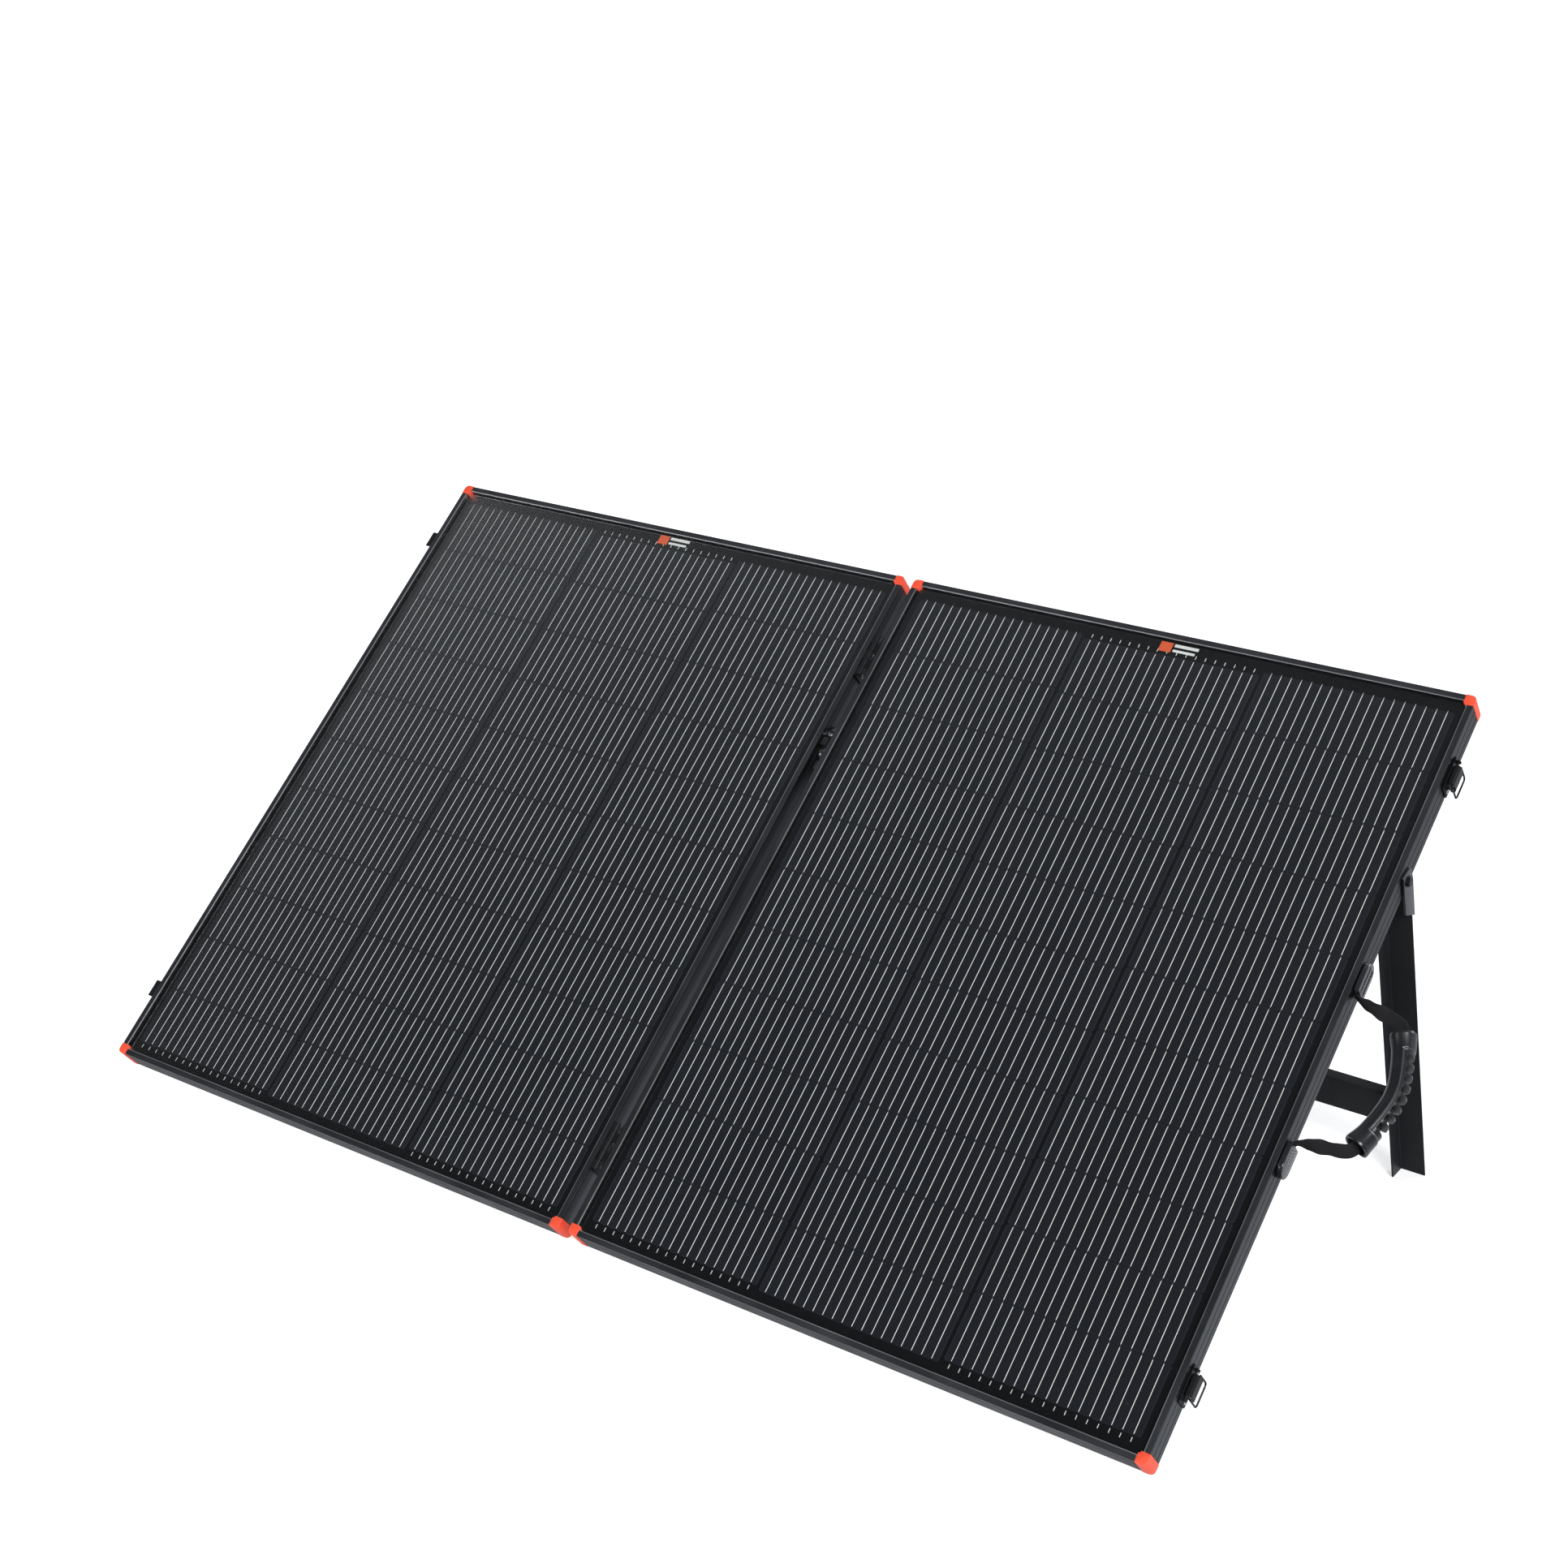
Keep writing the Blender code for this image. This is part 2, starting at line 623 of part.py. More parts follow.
def make_cables(left, right, finish):
    """The lead between the boxes: a run behind each panel and a short loop across the gap."""
    run_out = LAMINATE_BACK - CABLE_RADIUS - 0.0006
    for panel in (left, right):
        up = OUTLET_UP[panel.name]
        high = JUNCTION_BOX_UP
        spout_end = PANEL_WIDTH / 2 - JUNCTION_BOX_SIZE[0] / 2 - STUB_LENGTH - CLEARANCE
        route = [
            (spout_end, high, CABLE_OUT),
            (spout_end - 0.012, high, CABLE_OUT + 0.001),
            (spout_end - 0.035, high - 0.001, run_out),
            (0.120, high - 0.011, run_out),
            (0.055, high - 0.035, run_out),
            (0.026, high - 0.060, run_out),
            (0.015, up + 0.032, run_out - 0.0004),
            (0.0125, up + 0.012, CABLE_OUT + 0.0010),
            (0.0105, up + 0.0045, CABLE_OUT + 0.0002),
            (0.0072, up + 0.0008, CABLE_OUT),
            (0.0054, up, CABLE_OUT),
            (WALL + 0.0012 + 3 * CLEARANCE, up, CABLE_OUT),
        ]
        points = [(panel.from_inner(across), v, w) for across, v, w in route]
        make_cable(f"{panel.name}_panel_cable", points, 0.006, panel.body, finish)
    half = OUTLET_LENGTH / 2
    seat = CLEARANCE + OUTLET_HEIGHT / 2
    high = OUTLET_UP["left"] - half - CLEARANCE
    low = OUTLET_UP["right"] + half + CLEARANCE
    start = left.from_inner(-seat)
    end = right.from_inner(-seat)
    middle = (high + low) / 2
    points = [
        (start, high, CABLE_OUT),
        (start, high - 0.0025, CABLE_OUT + 0.0004),
        (start + 0.0010, middle + 0.0042, CABLE_OUT + 0.0040),
        (GAP_CENTRE, middle, CABLE_OUT + 0.0056),
        (end - 0.0010, middle - 0.0042, CABLE_OUT + 0.0040),
        (end, low + 0.0025, CABLE_OUT + 0.0004),
        (end, low, CABLE_OUT),
    ]
    make_cable("hinge_cable_loop", points, 0.0020, left.body, finish)


# ---- latches ---------------------------------------------------------------------------------------------
def make_strike(name, panel, up, finish):
    """A strike on the left panel: a flat plate with a tab that stands out for the wire bail."""
    across = panel.from_outer
    near = across(-CLEARANCE)
    face = across(-CLEARANCE - LATCH_PLATE_THICKNESS)
    top = across(-CLEARANCE - STRIKE_TAB_HEIGHT)
    half = STRIKE_LENGTH / 2
    plate = block((min(near, face), up - half, STRIKE_BACK), (max(near, face), up + half, STRIKE_TAB_OUT))
    made = add_object(f"{name}_latch_strike", plate, panel.body, finish)
    half_tab = STRIKE_TAB_LENGTH / 2
    tab = block(
        (min(near, top) + 1e-4, up - half_tab, STRIKE_TAB_OUT - LATCH_PLATE_THICKNESS),
        (max(near, top) - 1e-4, up + half_tab, STRIKE_TAB_OUT - 1e-4),
    )
    boolean(made, add_object(made.name + "_tab", tab, panel.body), "UNION")


def make_latch(name, panel, up, lever_body, bail_body, finish, wire_finish):
    """A toggle latch: a screwed base with two ears, a lever on its pin, and a wire bail on the lever."""
    across = panel.from_outer
    near = across(-CLEARANCE)
    face = across(-CLEARANCE - LATCH_PLATE_THICKNESS)
    half = LATCH_BASE_LENGTH / 2
    plate = block(
        (min(near, face), up - half, LATCH_BASE_BACK), (max(near, face), up + half, LATCH_BASE_FRONT)
    )
    base = add_object(f"{name}_latch_base", plate, panel.body, finish)
    axis_u = across(-LEVER_AXIS_PROUD)
    axis = (axis_u, up, LEVER_AXIS_OUT)
    for k, way in enumerate((-1.0, 1.0)):
        inner = up + way * EAR_INNER
        outer = up + way * (EAR_INNER + EAR_THICKNESS)
        top = -LEVER_AXIS_PROUD - 0.0024
        outline = [
            (across(-CLEARANCE - 0.0006), LEVER_AXIS_OUT - 0.0034),
            (across(top + 0.0012), LEVER_AXIS_OUT - 0.0026),
            (across(top), LEVER_AXIS_OUT - 0.0012),
            (across(top), LEVER_AXIS_OUT + 0.0012),
            (across(top + 0.0012), LEVER_AXIS_OUT + 0.0026),
            (across(-CLEARANCE - 0.0006), LEVER_AXIS_OUT + 0.0030),
        ]
        ear = prism(outline, "v", inner, outer)
        boolean(base, add_object(f"{base.name}_ear_{k}", ear, panel.body), "UNION")
    hole = rod(LEVER_PIN_RADIUS + CLEARANCE, axis, "v", -0.018, 0.018, 16)
    boolean(base, add_object(base.name + "_hole", hole, panel.body), "DIFFERENCE")

    end = LEVER_AXIS_OUT - LEVER_REACH
    outline = [
        (across(-LEVER_INNER - 0.0006), end),
        (across(-LEVER_OUTER + 0.0030), end - 0.0006),
        (across(-LEVER_OUTER + 0.0010), end + 0.0020),
        (across(-LEVER_OUTER), end + 0.0060),
        (across(-LEVER_OUTER), LEVER_AXIS_OUT - 0.0010),
        (across(-LEVER_OUTER + 0.0016), LEVER_AXIS_OUT + 0.0016),
        (across(-LEVER_INNER - 0.0016), LEVER_AXIS_OUT + 0.0020),
        (across(-LEVER_INNER), LEVER_AXIS_OUT),
    ]
    half = LEVER_WIDTH / 2
    lever = add_object(f"{name}_latch_lever", prism(outline, "v", up - half, up + half), lever_body, finish)
    pin = rod(LEVER_PIN_RADIUS, axis, "v", -0.0144, 0.0144, 16)
    boolean(lever, add_object(lever.name + "_pin", pin, lever_body), "UNION")
    bail_u = across(-BAIL_AXIS_PROUD)
    bore_radius = BAIL_WIRE_RADIUS + CLEARANCE
    bore = rod(bore_radius, (bail_u, up, BAIL_AXIS_OUT), "v", -0.010, 0.010, 16)
    boolean(lever, add_object(lever.name + "_bore", bore, lever_body), "DIFFERENCE")

    curve_steps = 4
    bend = 0.0030
    far = BAIL_AXIS_OUT - BAIL_REACH
    width = BAIL_HALF_WIDTH
    inner_end = width - 0.0065
    turn_in = 0.0016
    path = [(inner_end, BAIL_AXIS_OUT)]
    path += arc((width - turn_in, BAIL_AXIS_OUT - turn_in), turn_in, 90.0, 0.0, curve_steps)
    path += arc((width - bend, far + bend), bend, 0.0, -90.0, curve_steps)
    path += [(-v, w) for v, w in reversed(path)]
    places = [(bail_u, up + v, w) for v, w in path]
    shape = wire(places, BAIL_WIRE_RADIUS, 8)
    shade_round(add_object(f"{name}_latch_bail", shape, bail_body, wire_finish))


def wire(places, radius, sides):
    """A bent wire: one ring of points for every place of a path that lies square to u."""
    shape = bmesh.new()
    path = np.array(places)
    steps = np.gradient(path, axis=0)
    steps /= np.linalg.norm(steps, axis=1)[:, None]
    across = np.array([1.0, 0.0, 0.0])
    rings = []
    for place, along in zip(path, steps):
        side = np.cross(along, across)
        side /= np.linalg.norm(side)
        ring = []
        for k in range(sides):
            angle = 2 * pi * k / sides
            ring.append(shape.verts.new(place + radius * (cos(angle) * across + sin(angle) * side)))
        rings.append(ring)
    shape.faces.new(rings[0])
    shape.faces.new(rings[-1])
    for near, far in zip(rings, rings[1:]):
        for k in range(sides):
            m = (k + 1) % sides
            shape.faces.new((near[k], near[m], far[m], far[k]))
    return shape


# ---- carrying handle -------------------------------------------------------------------------------------
def make_anchor(name, panel, far_way, finish):
    """A moulded anchor: flat where the strap comes out, and round at its far end."""
    near_edge = HANDLE_UP + far_way * ANCHOR_NEAR
    radius = ANCHOR_WIDTH / 2
    middle = -FRAME_DEPTH / 2 - 0.0003
    round_centre = near_edge + far_way * (ANCHOR_LENGTH - radius)
    outline = [(near_edge, middle - radius)]
    outline += [
        (round_centre + far_way * radius * cos(a), middle + radius * sin(a))
        for a in np.radians(np.linspace(-90.0, 90.0, 11))
    ]
    outline += [(near_edge, middle + radius)]
    near = panel.from_outer(-CLEARANCE)
    far = panel.from_outer(-CLEARANCE - ANCHOR_HEIGHT)
    shape = prism(outline, "u", near, far)
    return add_object(f"handle_{name}_anchor", shape, panel.body, finish)


def handle_path():
    """The strap's middle line from the lower anchor to the upper one, as (outward, up) places."""
    lower = [(out, -up, 0.0) for out, up in HANDLE_ROUTE]
    upper = [(out, up, 0.0) for out, up in reversed(HANDLE_ROUTE)]
    return smooth_route(lower + [(*HANDLE_MIDDLE, 0.0)] + upper, 0.0036)[:, :2]


def sweep(path, profiles, body_middle, start_u, holes=None):
    """A skin of profiles carried along a path in the (u, v) plane, closed at both ends.

    Each profile is a ring of (sideways in the plane, along w) points. With holes, a second ring
    runs inside the first and the ends are flat rims.
    """
    shape = bmesh.new()
    steps = np.gradient(path, axis=0)
    steps /= np.linalg.norm(steps, axis=1)[:, None]
    normals = np.column_stack([steps[:, 1], -steps[:, 0]])

    def rings_of(rings):
        made = []
        for place, normal, ring in zip(path, normals, rings):
            verts = []
            for sideways, along_w in ring:
                flat = place + sideways * normal
                verts.append(shape.verts.new((start_u + flat[0], HANDLE_UP + flat[1], body_middle + along_w)))
            made.append(verts)
        return made

    def skin(rings):
        for near, far in zip(rings, rings[1:]):
            count = len(near)
            for k in range(count):
                m = (k + 1) % count
                shape.faces.new((near[k], near[m], far[m], far[k]))

    outer = rings_of(profiles)
    skin(outer)
    if holes is None:
        shape.faces.new(outer[0])
        shape.faces.new(outer[-1])
        return shape
    inner = rings_of(holes)
    skin(inner)
    for end in (0, -1):
        count = len(outer[end])
        for k in range(count):
            m = (k + 1) % count
            shape.faces.new((outer[end][k], outer[end][m], inner[end][m], inner[end][k]))
    return shape


def slot_ring(half_thickness, half_width):
    """Twenty points round a flat slot, with its corners next to the sides' middles."""
    shares = (0.0, 0.25, 0.5, 0.75, 1.0)
    quarter = [(half_thickness, share * half_width) for share in shares]
    ring = quarter + [(0.0, half_width)]
    ring += [(-out, w) for out, w in reversed(quarter)]
    return ring + [(out, -w) for out, w in reversed(ring[1:10])]


def make_handle(panel, handle, plastic, webbing):
    """A webbing strap between the anchors and the moulded grip that it runs through."""
    middle = -FRAME_DEPTH / 2
    start = panel.from_outer(0.0)
    half_t = STRAP_THICKNESS / 2
    half_w = STRAP_WIDTH / 2
    path = handle_path()
    bands = []
    for out, _ in path:
        half = min(half_w, STRAP_END_WIDTH / 2 + 0.32 * (out - HANDLE_AXIS_PROUD))
        bands.append([(-half_t, -half), (half_t, -half), (half_t, half), (-half_t, half)])
    add_object("handle_strap", sweep(path, bands, middle, start), handle, webbing)

    run = path[np.abs(path[:, 1]) < GRIP_LENGTH / 2]
    angles = 2 * pi * np.arange(20) / 20
    rings = []
    for place in run[:, 1] / run[:, 1].max():
        flare = 1.0 + GRIP_FLARE * max(0.0, (abs(place) - 0.72) / 0.28) ** 2
        radial = GRIP_RADIAL / 2 * flare
        wide = GRIP_WIDE / 2 * flare
        rings.append([(radial * cos(a), wide * sin(a)) for a in angles])
    holes = [slot_ring(half_t + CLEARANCE, half_w + CLEARANCE)] * len(run)
    grip = sweep(run, rings, middle, start, holes)
    shade_round(add_object("handle_grip", grip, handle, plastic))


# ---- the whole object ------------------------------------------------------------------------------------
def settle_on_ground(tilted):
    """Move the tilted plane so that the object stands on z = 0, centred over the world's origin."""
    bpy.context.view_layer.update()
    graph = bpy.context.evaluated_depsgraph_get()
    corners = []
    for made in bpy.data.objects:
        if made.type == "EMPTY" or made.hide_render:
            continue
        seen = made.evaluated_get(graph)
        mesh = seen.to_mesh()
        flat = np.empty(len(mesh.vertices) * 3)
        mesh.vertices.foreach_get("co", flat)
        matrix = np.array(seen.matrix_world)
        corners.append(flat.reshape(-1, 3) @ matrix[:3, :3].T + matrix[:3, 3])
        seen.to_mesh_clear()
    corners = np.vstack(corners)
    low = corners.min(axis=0)
    high = corners.max(axis=0)
    shift = Vector((-(low[0] + high[0]) / 2, -(low[1] + high[1]) / 2, -low[2]))
    tilted.empty.location = tilted.empty.location + shift
    bpy.context.view_layer.update()


def main():
    """Make the finishes, the bodies and every part."""
    clear_scene()
    frame_grey = material("anodised frame", (0.075, 0.078, 0.085), 0.38, 0.85)
    cap_orange = material("moulded corner", (0.86, 0.12, 0.035), 0.45, 0.0)
    glass = material("front glass", (0.020, 0.024, 0.032), 0.10, 0.0)
    cells = material("cell sheet", (0.012, 0.014, 0.022), 0.35, 0.0)
    steel_black = material("black steel", (0.020, 0.020, 0.022), 0.40, 0.7)
    leg_black = material("painted leg", (0.035, 0.038, 0.042), 0.42, 0.4)
    plate_grey = material("plate", (0.12, 0.12, 0.13), 0.40, 0.7)
    zinc = material("zinc fastener", (0.62, 0.62, 0.60), 0.25, 1.0)
    plastic = material("moulded black", (0.020, 0.021, 0.023), 0.40, 0.0)
    rubber = material("cable jacket", (0.030, 0.030, 0.032), 0.35, 0.0)
    webbing = material("webbing", (0.014, 0.014, 0.015), 0.85, 0.0)

    left_body = Body("left_panel_plane", (0.0, 0.0, 0.0), None, (TILT, 0.0, 0.0))
    fold = Body("fold_axis", (GAP_CENTRE, 0.0, HINGE_AXIS_OUT), left_body)
    left = Panel("left", 0.0, left_body, True)
    right = Panel("right", PANEL_WIDTH + PANEL_GAP, fold, False)

    for panel in (left, right):
        uprights = make_rails(panel, frame_grey)
        make_caps(panel, cap_orange)
        make_laminate(panel, glass, cells)
        middle = panel.from_left(PANEL_WIDTH / 2)
        pivot = (middle, PIVOT_UP, PIVOT_OUT)
        stand = Body(f"{panel.name}_stand_axis", pivot, panel.body, (LEG_ANGLE, 0.0, 0.0))
        make_stand(panel, stand, uprights, leg_black, plate_grey, zinc)
        make_junction_box(panel, plastic, panel is right)
        make_outlet(panel, uprights["inner"], plastic)

    for name, up in HINGE_UP.items():
        make_hinge(name, up, left, right, steel_black)
    make_cables(left, right, rubber)

    for name, up in (("lower", LATCH_FROM_END), ("upper", PANEL_HEIGHT - LATCH_FROM_END)):
        make_strike(name, left, up, steel_black)
        lever_place = (right.from_outer(-LEVER_AXIS_PROUD), up, LEVER_AXIS_OUT)
        lever = Body(f"{name}_lever_axis", lever_place, fold)
        bail_place = (right.from_outer(-BAIL_AXIS_PROUD), up, BAIL_AXIS_OUT)
        bail = Body(f"{name}_bail_axis", bail_place, lever)
        make_latch(name, right, up, lever, bail, steel_black, zinc)

    make_anchor("lower", right, -1.0, plastic)
    make_anchor("upper", right, 1.0, plastic)
    hang = (right.from_outer(-HANDLE_AXIS_PROUD), HANDLE_UP, -FRAME_DEPTH / 2)
    handle = Body("handle_axis", hang, fold, (0.0, HANDLE_DROOP, 0.0))
    make_handle(right, handle, plastic, webbing)
    settle_on_ground(left_body)


main()
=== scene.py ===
# %% [markdown]
# # A folding solar panel on its two stands
# Two framed solar panels are hinged side by side like a suitcase. Each one leans back on a stand of two
# angle legs and a crossbar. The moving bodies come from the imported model, and this script gives every
# one of them its fine surface: cells and ribbons under glass, drawn aluminium, moulded caps, webbing.

import bmesh
import bpy
import numpy as np
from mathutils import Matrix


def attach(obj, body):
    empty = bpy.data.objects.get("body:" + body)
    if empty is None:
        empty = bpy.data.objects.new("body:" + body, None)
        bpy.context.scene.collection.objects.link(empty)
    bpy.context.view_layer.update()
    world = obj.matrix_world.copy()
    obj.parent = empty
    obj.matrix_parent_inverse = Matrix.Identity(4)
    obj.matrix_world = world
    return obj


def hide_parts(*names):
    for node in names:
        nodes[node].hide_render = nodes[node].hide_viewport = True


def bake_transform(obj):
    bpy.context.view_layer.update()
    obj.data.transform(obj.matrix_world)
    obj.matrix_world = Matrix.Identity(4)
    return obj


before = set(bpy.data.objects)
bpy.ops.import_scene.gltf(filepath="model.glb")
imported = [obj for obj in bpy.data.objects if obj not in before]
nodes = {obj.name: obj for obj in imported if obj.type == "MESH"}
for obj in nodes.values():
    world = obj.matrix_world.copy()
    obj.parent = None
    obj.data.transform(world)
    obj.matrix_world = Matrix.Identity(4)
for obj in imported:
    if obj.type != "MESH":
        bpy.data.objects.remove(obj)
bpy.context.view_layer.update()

# %% [markdown]
# ## Where things are
# Every measure of the panels is easiest in their own plane: u runs across from the left edge, v runs up
# the slope from the bottom edge, and w stands out of the glass. One function turns these millimetres
# into metres in the room, so each piece can be written down the way a maker would measure it.

# %% The tilted plane
TILT = np.radians(39.3)
CORNER = np.array([-0.617848, -0.290369, 0.019909])
PANEL_WIDTH = 580.0
PANEL_HEIGHT = 730.0
FRAME_DEPTH = 25.0
PANEL_GAP = 12.0
TOTAL_WIDTH = 2 * PANEL_WIDTH + PANEL_GAP
SIDES = ("left", "right")
START = {"left": 0.0, "right": PANEL_WIDTH + PANEL_GAP}
OWN_MAP = "own_map"


def on_panel(u, v, w):
    """Room position of a point of the tilted plane: the corner, plus u across, v up the slope and w along
    its normal.
    """
    u, v, w = np.broadcast_arrays(*(0.001 * np.asarray(part, float) for part in (u, v, w)))
    back = v * np.cos(TILT) - w * np.sin(TILT)
    up = v * np.sin(TILT) + w * np.cos(TILT)
    return CORNER + np.stack([u, back, up], axis=-1)


def from_outer(panel, distance):
    """The u that lies this far inside the panel's outer edge, the one away from the hinges."""
    return distance if panel == "left" else TOTAL_WIDTH - distance


def from_inner(panel, distance):
    """The u that lies this far inside the panel's hinge edge."""
    return PANEL_WIDTH - distance if panel == "left" else START["right"] + distance


print("panel corners", np.round(on_panel([0, TOTAL_WIDTH], [0, PANEL_HEIGHT], [0, 0]), 4).tolist())

# %% [markdown]
# ## Camera
# The camera stands to the right, in front and above, with a longer lens than a snapshot would use. It is
# made before anything else, because it decides which details deserve the most work.

# %% Camera
camera_data = bpy.data.cameras.new("studio_camera")
camera_data.lens = 58.931
camera_data.sensor_width = 36.0
camera = bpy.data.objects.new("studio_camera", camera_data)
camera.location = (1.26827, -1.78722, 1.27165)
camera.rotation_euler = np.radians([67.4558, 0.1095, 35.1518])
bpy.context.scene.collection.objects.link(camera)
bpy.context.scene.camera = camera
print("camera lens", camera_data.lens)

# %% [markdown]
# ## Studio light
# A product studio wraps the object in white. Three wide suns give soft light from three sides, and the
# sky is only grey, because glass and dark metal show the sky in them: a white one would wash them out.

# %% Suns and sky
bpy.context.scene.view_settings.view_transform = "Standard"
SUNS = {
    "right_key": ((0.62, -0.62, 0.62), 3.0, 24.0),
    "left_fill": ((-0.60, -0.85, 0.22), 1.2, 24.0),
    "back_fill": ((0.45, 0.75, 0.45), 1.3, 30.0),
}
for name, (towards, strength, wide) in SUNS.items():
    sun_data = bpy.data.lights.new(name, "SUN")
    sun_data.energy = strength
    sun_data.angle = np.radians(wide)
    sun = bpy.data.objects.new(name, sun_data)
    x, y, z = towards
    sun.rotation_euler = (np.arctan2(np.hypot(x, y), z), 0.0, np.arctan2(x, -y))
    bpy.context.scene.collection.objects.link(sun)

world = bpy.data.worlds.new("studio_sky")
world.use_nodes = True
sky_nodes = world.node_tree.nodes
sky_links = world.node_tree.links
direction = sky_nodes.new("ShaderNodeTexCoord")
parts = sky_nodes.new("ShaderNodeSeparateXYZ")
rise = sky_nodes.new("ShaderNodeMapRange")
rise.inputs["From Min"].default_value = -0.35
rise.inputs["From Max"].default_value = 0.55
rise.inputs["To Min"].default_value = 0.07
rise.inputs["To Max"].default_value = 0.62
sky_links.new(direction.outputs["Generated"], parts.inputs["Vector"])
sky_links.new(parts.outputs["Y"], rise.inputs["Value"])
sky_links.new(rise.outputs["Result"], sky_nodes["Background"].inputs["Strength"])
sky_nodes["Background"].inputs["Color"].default_value = (0.92, 0.95, 1.0, 1.0)
bpy.context.scene.world = world
print("lights", sorted(SUNS))

# %% [markdown]
# ## A small language for finishes
# A finish is a graph of nodes. Written as nodes it is hard to read, so a wire between nodes is wrapped in
# a class whose arithmetic adds the Math nodes: `1 - mask * 0.5` then means what it says.


# %% Wires and finishes
class Wire:
    """A value that flows out of a node. Arithmetic on wires adds Math nodes that work it out."""

    def __init__(self, finish, socket):
        self.finish = finish
        self.socket = socket

    def math(self, operation, *parts):
        sockets = dict(enumerate(parts))
        return self.finish.node("ShaderNodeMath", {"operation": operation}, sockets)

    def __add__(self, other):
        return self.math("ADD", self, other)

    __radd__ = __add__

    def __mul__(self, other):
        return self.math("MULTIPLY", self, other)

    __rmul__ = __mul__

    def __sub__(self, other):
        return self.math("SUBTRACT", self, other)

    def __rsub__(self, other):
        return self.math("SUBTRACT", other, self)

    def __lt__(self, other):
        return self.math("LESS_THAN", self, other)

    def __gt__(self, other):
        return self.math("GREATER_THAN", self, other)

    def __abs__(self):
        return self.math("ABSOLUTE", self)


class Finish:
    """One material with its shader. node() adds any node, and the rest are short names for common ones."""

    def __init__(self, name, colour, roughness=0.5, metallic=0.0, **constants):
        self.material = bpy.data.materials.new(name)
        self.material.use_nodes = True
        self.tree = self.material.node_tree
        self.shader = self.tree.nodes["Principled BSDF"]
        self.colour = (*colour, 1.0)
        self.feed(self.shader.inputs["Base Color"], self.colour)
        self.feed(self.shader.inputs["Roughness"], roughness)
        self.feed(self.shader.inputs["Metallic"], metallic)
        for socket, value in constants.items():
            self.feed(self.shader.inputs[socket.replace("_", " ")], value)

    def feed(self, socket, value):
        if isinstance(value, Wire):
            self.tree.links.new(value.socket, socket)
        else:
            socket.default_value = value

    def node(self, kind, settings=(), sockets=(), out=0):
        node = self.tree.nodes.new(kind)
        for key, value in dict(settings).items():
            setattr(node, key, value)
        for key, value in dict(sockets).items():
            self.feed(node.inputs[key], value)
        return Wire(self, node.outputs[out])

    def set(self, **wires):
        for socket, value in wires.items():
            self.feed(self.shader.inputs[socket.replace("_", " ")], value)

    def place(self, turn=0.0, stretch=(1.0, 1.0, 1.0)):
        """The piece's own coordinates, turned back about x by an angle and stretched along each axis."""
        where = self.node("ShaderNodeTexCoord", out=3)
        turned = self.node("ShaderNodeMapping", {}, {"Vector": where, "Rotation": (-turn, 0.0, 0.0)})
        return self.node("ShaderNodeMapping", {}, {"Vector": turned, "Scale": stretch})

    def along(self, where, axis):
        return self.node("ShaderNodeSeparateXYZ", {}, {"Vector": where}, out=axis)

    def noise(self, where, scale, detail=3.0, roughness=0.55):
        sockets = {"Vector": where, "Scale": scale, "Detail": detail, "Roughness": roughness}
        return self.node("ShaderNodeTexNoise", {}, sockets)

    def ramp(self, value, low, high, dark=0.0, light=1.0):
        """Rises straight from dark to light as the value goes from low to high, and stays flat outside."""
        sockets = {"Value": value, 1: low, 2: high, 3: dark, 4: light}
        return self.node("ShaderNodeMapRange", {"clamp": True}, sockets)

    def mix(self, share, first, second):
        first = (*first, 1.0) if isinstance(first, tuple) and len(first) == 3 else first
        second = (*second, 1.0) if isinstance(second, tuple) and len(second) == 3 else second
        return self.node("ShaderNodeMix", {"data_type": "RGBA"}, {0: share, 6: first, 7: second}, out=2)

    def bump(self, height, depth, strength=1.0):
        """Turns a height from 0 to 1 into a tilt of the surface, where 1 stands depth metres high."""
        sockets = {"Height": height, "Distance": depth, "Strength": strength}
        self.set(Normal=self.node("ShaderNodeBump", {}, sockets))
        return self


print("finishes can be written")

# %% [markdown]
# ## Metal finishes
# The frame is dark anodised aluminium. It is drawn through a die, so its grain runs along each rail, and
# the level and the upright rails get the same finish with the grain stretched in different directions.
# The legs are powder coated: a pebbled skin that hides the metal. Small steel parts and the outer bolts
# are blackened, and the screws and the inner bolts are bright zinc.

# %% Metals
LEAN = TILT + np.radians(69.2)
PLANE_ORIGIN = (
    float(CORNER[0]),
    float(CORNER[1] * np.cos(TILT) + CORNER[2] * np.sin(TILT)),
    float(CORNER[2] * np.cos(TILT) - CORNER[1] * np.sin(TILT)),
)


def drawn_metal(name, colour, grain_along, turn, roughness=0.34, depth=2.0e-6):
    """Grain is noise stretched a hundredfold along the rail; a slow noise clouds the colour and the gloss."""
    finish = Finish(name, colour, roughness, 1.0)
    fine = [700.0, 700.0, 700.0]
    fine[grain_along] = 6.0
    grain = finish.noise(finish.place(turn, tuple(fine)), 1.0, 2.0)
    cloud = finish.noise(finish.place(turn), 14.0, 4.0)
    dark = tuple(0.80 * part for part in colour)
    light = tuple(1.20 * part for part in colour)
    finish.base = finish.mix(grain * 0.55 + cloud * 0.45, dark, light)
    finish.set(Base_Color=finish.base)
    finish.set(Roughness=finish.ramp(cloud, 0.3, 0.7, roughness - 0.05, roughness + 0.07) + grain * 0.05)
    return finish.bump(grain, depth)


